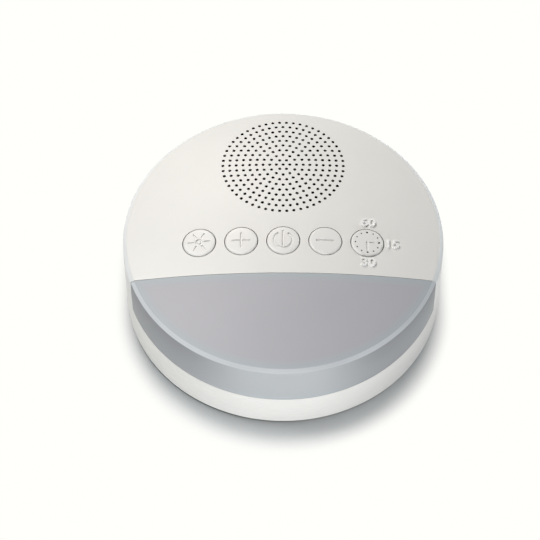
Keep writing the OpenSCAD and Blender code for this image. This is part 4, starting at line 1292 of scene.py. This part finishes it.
def lampMaster(size, height):
    # a white package with a round well that is filled with phosphor, and three pads a side
    bm = bmesh.new()
    half = size / 2
    block(bm, (-half * 0.96, -half * 0.96, 0.06 * height), (half * 0.96, half * 0.96, height), 0.04 * size)
    master = addObject("lamp", bm)
    floor, brim = height * 0.7, height * 1.1
    well = turned(32, (0, floor), (half * 0.62, floor), (half * 0.78, brim), (0, brim))
    combine(master, well, "DIFFERENCE")
    whole = meshOf(master)
    out, along, high = half * 0.1, half * 0.14, height * 0.35
    for side in (-1, 1):
        for k in (-1, 0, 1):
            x, y = side * half * 0.9, k * half * 0.6
            block(whole, (x - out, y - along, 0), (x + out, y + along, high), 0.01 * size)
    return addObject("lamp", whole)


def makeLamps():
    for node, name, turns in (("night_light_leds", "nightLamps", True), ("timer_leds", "timerLamps", False)):
        boxes = solidBoxes(node)
        size = min(high.x - low.x for low, high in boxes)
        base, height = boxes[0][0].z, boxes[0][1].z - boxes[0][0].z
        places = []
        for place in standing(boxes):
            yaw = atan2(place.translation.y, place.translation.x) if turns else 0
            places.append(place @ Matrix.Rotation(yaw, 4, "Z"))
        piece = addObject(name, copies(lampMaster(size, height), places))
        standFor(piece, node, [slotFinish["lamp_body"], phosphor, tinPlate])
        markFaces(piece, 1, lambda c, n: n.z > 0.9 and abs(c.z - base - 0.7 * height) < 0.02 * height)
        markFaces(piece, 2, lambda c, n: -0.01 * height < c.z - base < 0.36 * height and n.z > 0.5)


makeCapacitors()
makeLamps()
print("capacitors and lamps made")


def makeLeads():
    # pairs of round wires, one of each colour
    for node in ("battery_lead", "charge_lead", "speaker_lead", "light_lead"):
        bm = cadCopy(node)
        bmesh.ops.join_triangles(
            bm, faces=bm.faces, angle_face_threshold=radians(25), angle_shape_threshold=radians(60),
        )
        wires = solids(bm)
        wires.sort(key=lambda wire: min((round(v.co.x, 6), round(v.co.y, 6), v.co.z) for v in wire))
        for k, wire in enumerate(wires):
            for f in {f for v in wire for f in v.link_faces}:
                f.material_index = k % 2
        piece = addObject(pieceName(node), bm)
        smooth = piece.modifiers.new("round", "SUBSURF")
        smooth.levels = smooth.render_levels = 2
        bakeModifiers(piece)
        standFor(piece, node, [slotFinish["wire_insulation"], blackWire], 60)


contacts = {
    "count": 12, "pitch": 0.5 * mm, "width": 0.26 * mm, "length": 4.2 * mm, "thick": 0.03 * mm, "in": 0.35 * mm,
}


def makeContacts():
    # gold pads on both faces of the charging socket's tongue
    low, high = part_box("usb_tongue")
    half, thick, back = contacts["width"] / 2, contacts["thick"], high[1] - contacts["in"]
    bm = bmesh.new()
    for k in range(contacts["count"]):
        x = (k - (contacts["count"] - 1) / 2) * contacts["pitch"]
        for z in (low[2] - thick, high[2]):
            block(bm, (x - half, back - contacts["length"], z), (x + half, back, z + thick), 0.005 * mm, 1)
    finishPiece(addObject("socketContacts", bm), "socket_steel", finishes=[goldPlate])


# places are in mm; a body and its ends are each given by half their depth and their height
smallParts = {
    "row": ((-24, -20.5, -17, -13.5, 13.5, 17, 20.5, 24), (-10.6,)),
    "columns": ((-13.2, 10.6, 13.2, 15.8), (0.0, 1.9)), "half": 0.55 * mm, "body": (0.4 * mm, 0.45 * mm),
    "end": (0.42 * mm, 0.47 * mm), "ends": (0.5 * mm, 0.85 * mm),
    "switchPins": (1.9 * mm, 1.6 * mm), "canPins": 0.8 * mm,
}


def makeSmallParts():
    # chip resistors and capacitors on the main board, and the solder under its pins
    under, top = (corner[2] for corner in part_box("main_board"))
    bodies, ends = bmesh.new(), bmesh.new()
    half, (deep, high), (endDeep, endHigh) = (smallParts[key] for key in ("half", "body", "end"))
    for across, along in (smallParts["row"], smallParts["columns"]):
        for x, y in ((x * mm, y * mm) for x in across for y in along):
            block(bodies, (x - half, y - deep, top), (x + half, y + deep, top + high), 0.04 * mm, 1)
            for side in (-1, 1):
                a, b = sorted(x + side * reach for reach in smallParts["ends"])
                block(ends, (a, y - endDeep, top), (b, y + endDeep, top + endHigh), 0.05 * mm, 1)
    finishPiece(addObject("smallPartBodies", bodies), "chip_black")
    finishPiece(addObject("smallPartEnds", ends), "socket_steel", finishes=[tinPlate])
    out, back = smallParts["switchPins"]
    switchPins = [(a * out, b * back) for a in (-1, 1) for b in (-1, 1)]
    canPins = [(a * smallParts["canPins"], 0) for a in (-1, 1)]
    pins = []
    for node, offsets in (("switch_bodies", switchPins), ("board_capacitors", canPins)):
        for low, high in solidBoxes(node):
            pins += [((low.x + high.x) / 2 + x, (low.y + high.y) / 2 + y, under) for x, y in offsets]
    joint = addObject("joint", turned(
        16, (0, 0), (0.62 * mm, 0), (0.42 * mm, -0.14 * mm), (0.26 * mm, -0.4 * mm), (0.2 * mm, -0.7 * mm),
        (0.1 * mm, -0.78 * mm), (0, -0.8 * mm),
    ))
    joints = addObject("solderJoints", copies(joint, [Matrix.Translation(pin) for pin in pins]))
    finishPiece(joints, "socket_steel", finishes=[tinPlate], angle=50)


# pieces whose edges only need softening: the width of the edge and how many steps it has
softEdges = {
    "lead_plugs": (0.14 * mm, 2), "usb_socket": (0.05 * mm, 2), "usb_tongue": (0.1 * mm, 3),
    "speaker_terminals": (0.08 * mm, 2), "light_baffle": (0.18 * mm, 3), "battery_tape": (0.12 * mm, 2),
    "speaker_magnet": (0.3 * mm, 3), "speaker_yoke": (0.2 * mm, 2), "speaker_top_plate": (0.12 * mm, 2),
    **{button + "_switch_plunger": (0.15 * mm, 3) for button in buttons},
    "voice_coil": (0.1 * mm, 2),
}


def softCopy(node, width, steps):
    bm = cadCopy(node)
    bmesh.ops.dissolve_limit(bm, angle_limit=radians(1), verts=bm.verts, edges=bm.edges)
    piece = addObject(pieceName(node), bm)
    soften(piece, width, steps)
    standFor(piece, node)


for node, (width, steps) in softEdges.items():
    softCopy(node, width, steps)
print("soft edges made")

footLook = {"round": 0.3 * mm, "ring": 2.6 * mm, "groove": 0.35 * mm, "deep": 0.25 * mm}


def makeFeet():
    # moulded discs with a round edge and a groove in the face
    boxes = solidBoxes("rubber_feet")
    low, high = boxes[0]
    r, h, edge = (high.x - low.x) / 2, high.z - low.z, footLook["round"]
    ring, groove, deep = footLook["ring"], footLook["groove"], footLook["deep"]
    master = addObject("foot", turned(
        64, (0, 0), (ring - groove, 0), (ring - groove * 0.5, deep * 0.8), (ring, deep),
        (ring + groove * 0.5, deep * 0.8), (ring + groove, 0), (r - edge, 0), (r - edge * 0.62, edge * 0.08),
        (r - edge * 0.29, edge * 0.29), (r - edge * 0.08, edge * 0.62), (r, edge), (r, h), (0, h),
    ))
    standFor(addObject("rubberFeet", copies(master, standing(boxes))), "rubber_feet")


switchLook = {
    "soft": 0.12 * mm, "plate": 2.1 * mm, "thick": 0.1 * mm, "sunk": 0.05 * mm, "hole": 1.35 * mm,
    "rivet": 0.28 * mm, "flat": 0.35, "leg": 0.35 * mm, "legAt": 1.1 * mm, "legIn": 0.2 * mm,
    "legHigh": 0.25 * mm,
}


def makeSwitches():
    # a nylon body with a steel cover held by four rivets, and four legs
    softCopy("switch_bodies", switchLook["soft"], 2)
    covers, rivets, holes = bmesh.new(), bmesh.new(), bmesh.new()
    half, thick, leg, hole = (switchLook[key] for key in ("plate", "thick", "leg", "hole"))
    for low, high in solidBoxes("switch_bodies"):
        x, y, top = (low.x + high.x) / 2, (low.y + high.y) / 2, high.z
        foot = top - switchLook["sunk"]
        block(covers, (x - half, y - half, foot), (x + half, y + half, top + thick), 0.08 * mm)
        cone(holes, 40, hole, hole, 1 * mm, Matrix.Translation((x, y, top)))
        for a, b in ((-1, -1), (-1, 1), (1, -1), (1, 1)):
            at = Matrix.Translation((x + a * half * 0.75, y + b * half * 0.75, top + thick))
            dome = bmesh.ops.create_uvsphere(rivets, u_segments=16, v_segments=8, radius=switchLook["rivet"])
            flat = Matrix.Diagonal((1, 1, switchLook["flat"], 1))
            bmesh.ops.transform(rivets, matrix=at @ flat, verts=dome["verts"])
            side, along = x + a * (high.x - low.x) / 2, y + b * switchLook["legAt"]
            inner, outer = sorted((side - a * switchLook["legIn"], side + a * leg))
            corners = (inner, along - leg, low.z), (outer, along + leg, low.z + switchLook["legHigh"])
            block(rivets, *corners, 0.06 * mm, 1)
    piece = addObject("switchCovers", covers)
    combine(piece, holes, "DIFFERENCE")
    finishPiece(piece, "socket_steel")
    finishPiece(addObject("switchRivets", rivets), "socket_steel", finishes=[tinPlate])


lugLook = {"half": 0.55 * mm, "reach": (-0.9 * mm, 1.3 * mm), "high": (-0.05 * mm, 0.2 * mm), "apart": 2.2 * mm}


def makeSpeakerLugs():
    # two tinned lugs riveted under the terminal board
    low, high = (Vector(corner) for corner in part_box("speaker_terminals"))
    middle = (low + high) / 2
    out = Vector((middle.x, middle.y - grille["middle"], 0)).normalized()
    along = Vector((-out.y, out.x, 0))
    turn = Matrix((along, out, Vector((0, 0, -1)))).transposed().to_4x4()
    bm = bmesh.new()
    half, (near, far), (foot, top) = lugLook["half"], lugLook["reach"], lugLook["high"]
    block(bm, (-half, near, foot), (half, far, top), 0.07 * mm)
    joinInto(bm, turned(24, (0, 0), (0.5 * mm, 0), (0.6 * mm, 0.3 * mm), (0.45 * mm, 0.5 * mm), (0, 0.56 * mm)))
    middle.z = low.z
    places = [Matrix.Translation(middle + along * side * lugLook["apart"]) @ turn for side in (-1, 1)]
    piece = addObject("speakerLugs", copies(addObject("lug", bm), places))
    finishPiece(piece, "socket_steel", finishes=[tinPlate])


# the speaker's two soft rings, which the basket holds outside and the cone inside
surround = {
    "thick": 0.35 * mm, "roll": (15.1 * mm, 17.1 * mm), "wall": (0.35 * mm, 0.525 * mm), "round": 0.06 * mm,
    "inner": 14.1 * mm, "still": 17 * mm, "moving": 15.1 * mm,
}
spider = {"thick": 0.25 * mm, "wave": 0.3 * mm, "waves": 3, "steps": 60, "still": 11.4 * mm, "moving": 8.3 * mm}


def makeSoftRing(node, profile):
    # a closed sheet spun round the speaker's axis
    piece = addObject(pieceName(node), turnedRing(120, profile))
    piece.data.materials.append(slotFinish[slotOf[node]].material)
    smoothByAngle(piece, 40)
    # each point is swung round onto one line, then set back in place and moved onto the speaker's axis
    places = [v.co.copy() for v in piece.data.vertices]
    for v in piece.data.vertices:
        v.co = (hypot(v.co.x, v.co.y), 0, v.co.z)
    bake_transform(piece)
    for v, place in zip(piece.data.vertices, places):
        v.co = place + Vector((0, grille["middle"], 0))
    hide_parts(node)


def makeSurround():
    # a half roll between two flat flanges
    low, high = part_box("speaker_surround")
    outer, foot, crest = (high[0] - low[0]) / 2, low[2], high[2] - low[2]
    thick, soft, inner, (start, end) = (surround[key] for key in ("thick", "round", "inner", "roll"))
    side, top = surround["wall"]
    middle, half = (start + end) / 2, (end - start) / 2
    turns = [pi * k / 20 for k in range(21)]
    profile = [(outer - soft, 0), (outer, soft), (outer, thick - soft), (outer - soft, thick)]
    profile += [(middle + half * cos(a), thick + (crest - thick) * sin(a)) for a in turns]
    profile += [(inner + soft, thick), (inner, thick - soft), (inner, soft), (inner + soft, 0)]
    profile += [(middle + (half - side) * cos(a), (crest - top) * sin(a)) for a in reversed(turns)]
    makeSoftRing("speaker_surround", [(r, foot + z) for r, z in profile])


def makeSpider():
    # a corrugated disc
    low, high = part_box("speaker_spider")
    outer, inner, foot = (high[0] - low[0]) / 2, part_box("voice_coil")[1][0] + 0.05 * mm, low[2]
    wave = []
    for k in range(spider["steps"] + 1):
        share = k / spider["steps"]
        height = spider["wave"] * (1 - cos(2 * pi * spider["waves"] * share))
        wave.append((inner + (outer - inner) * share, foot + height))
    makeSoftRing("speaker_spider", wave + [(r, z + spider["thick"]) for r, z in reversed(wave)])


# each bump's start, length and rise
tapeBumps = {
    "chip": (2 * mm, 4.2 * mm, 0.35 * mm), "resistor": (8.4 * mm, 2.2 * mm, 0.22 * mm),
    "switch": (12.5 * mm, 5 * mm, 0.3 * mm), "tab": (20.5 * mm, 2.6 * mm, 0.25 * mm),
}
tapeLook = {"in": 0.35 * mm, "sunk": 0.2 * mm, "bumpEdge": 0.12 * mm, "edge": 0.16 * mm}


def makeProtectionBoard():
    # a small board folded into tape, with its parts showing through as soft bumps
    low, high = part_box("battery_protection_board")
    left, right, foot = low[0] + tapeLook["in"], high[0] - tapeLook["in"], high[2] - tapeLook["sunk"]
    piece = addObject("batteryProtectionBoard", cadCopy("battery_protection_board"))
    bumps = bmesh.new()
    for start, length, rise in tapeBumps.values():
        y = low[1] + start
        block(bumps, (left, y, foot), (right, y + length, high[2] + rise), tapeLook["bumpEdge"], 3)
    combine(piece, bumps, "UNION")
    soften(piece, tapeLook["edge"])
    standFor(piece, "battery_protection_board")


cellLook = {
    "edge": 0.9 * mm, "fold": 0.4 * mm, "foldLow": 0.6 * mm, "foldHigh": 0.9 * mm, "end": 0.5 * mm,
    "foldEdge": 0.14 * mm,
}


def makeBatteryCell():
    # a soft-edged pouch with its sealed edges folded up along both sides
    low, high = (Vector(corner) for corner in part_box("battery_cell"))
    fold, end = cellLook["fold"], cellLook["end"]
    bm = bmesh.new()
    block(bm, low + Vector((0, fold, 0)), high - Vector((0, fold, 0)), cellLook["edge"], 5)
    piece = addObject("batteryCell", bm)
    foot, top = low.z + cellLook["foldLow"], high.z - cellLook["foldHigh"]
    folds = bmesh.new()
    for y in (low.y, high.y - 2 * fold):
        block(folds, (low.x + end, y, foot), (high.x - end, y + 2 * fold, top), cellLook["foldEdge"], 3)
    combine(piece, folds, "UNION")
    standFor(piece, "battery_cell")


socketLook = {"groove": 0.35 * mm, "deep": 0.35 * mm, "apart": 1.5 * mm, "edge": 0.1 * mm, "soft": 0.07 * mm}


def makeLeadSockets():
    # moulded sockets with polarising grooves along the face and a window in each side
    piece = addObject("leadSockets", cadCopy("lead_sockets"))
    half, deep, edge = (socketLook[key] for key in ("groove", "deep", "edge"))
    cuts = bmesh.new()
    for low, high in solidBoxes("lead_sockets"):
        x, y, z = (low + high) / 2
        for side, wall in ((-1, low.x), (1, high.x)):
            along = x + side * socketLook["apart"]
            start, end = (along - half, low.y - deep, low.z - deep), (along + half, high.y + deep, low.z + deep)
            block(cuts, start, end, edge)
            block(cuts, (wall - deep, y - 3 * half, z - half), (wall + deep, y + 3 * half, z + 2 * half), edge)
    combine(piece, cuts, "DIFFERENCE")
    soften(piece, socketLook["soft"], 2)
    standFor(piece, "lead_sockets")


for make in (
    makeBatteryCell, makeLeadSockets, makeFeet, makeSwitches, makeSpeakerLugs, makeSurround, makeSpider,
    makeProtectionBoard, makeLeads, makeContacts, makeSmallParts,
):
    make()
print("feet, switches, leads, contacts and small parts made")
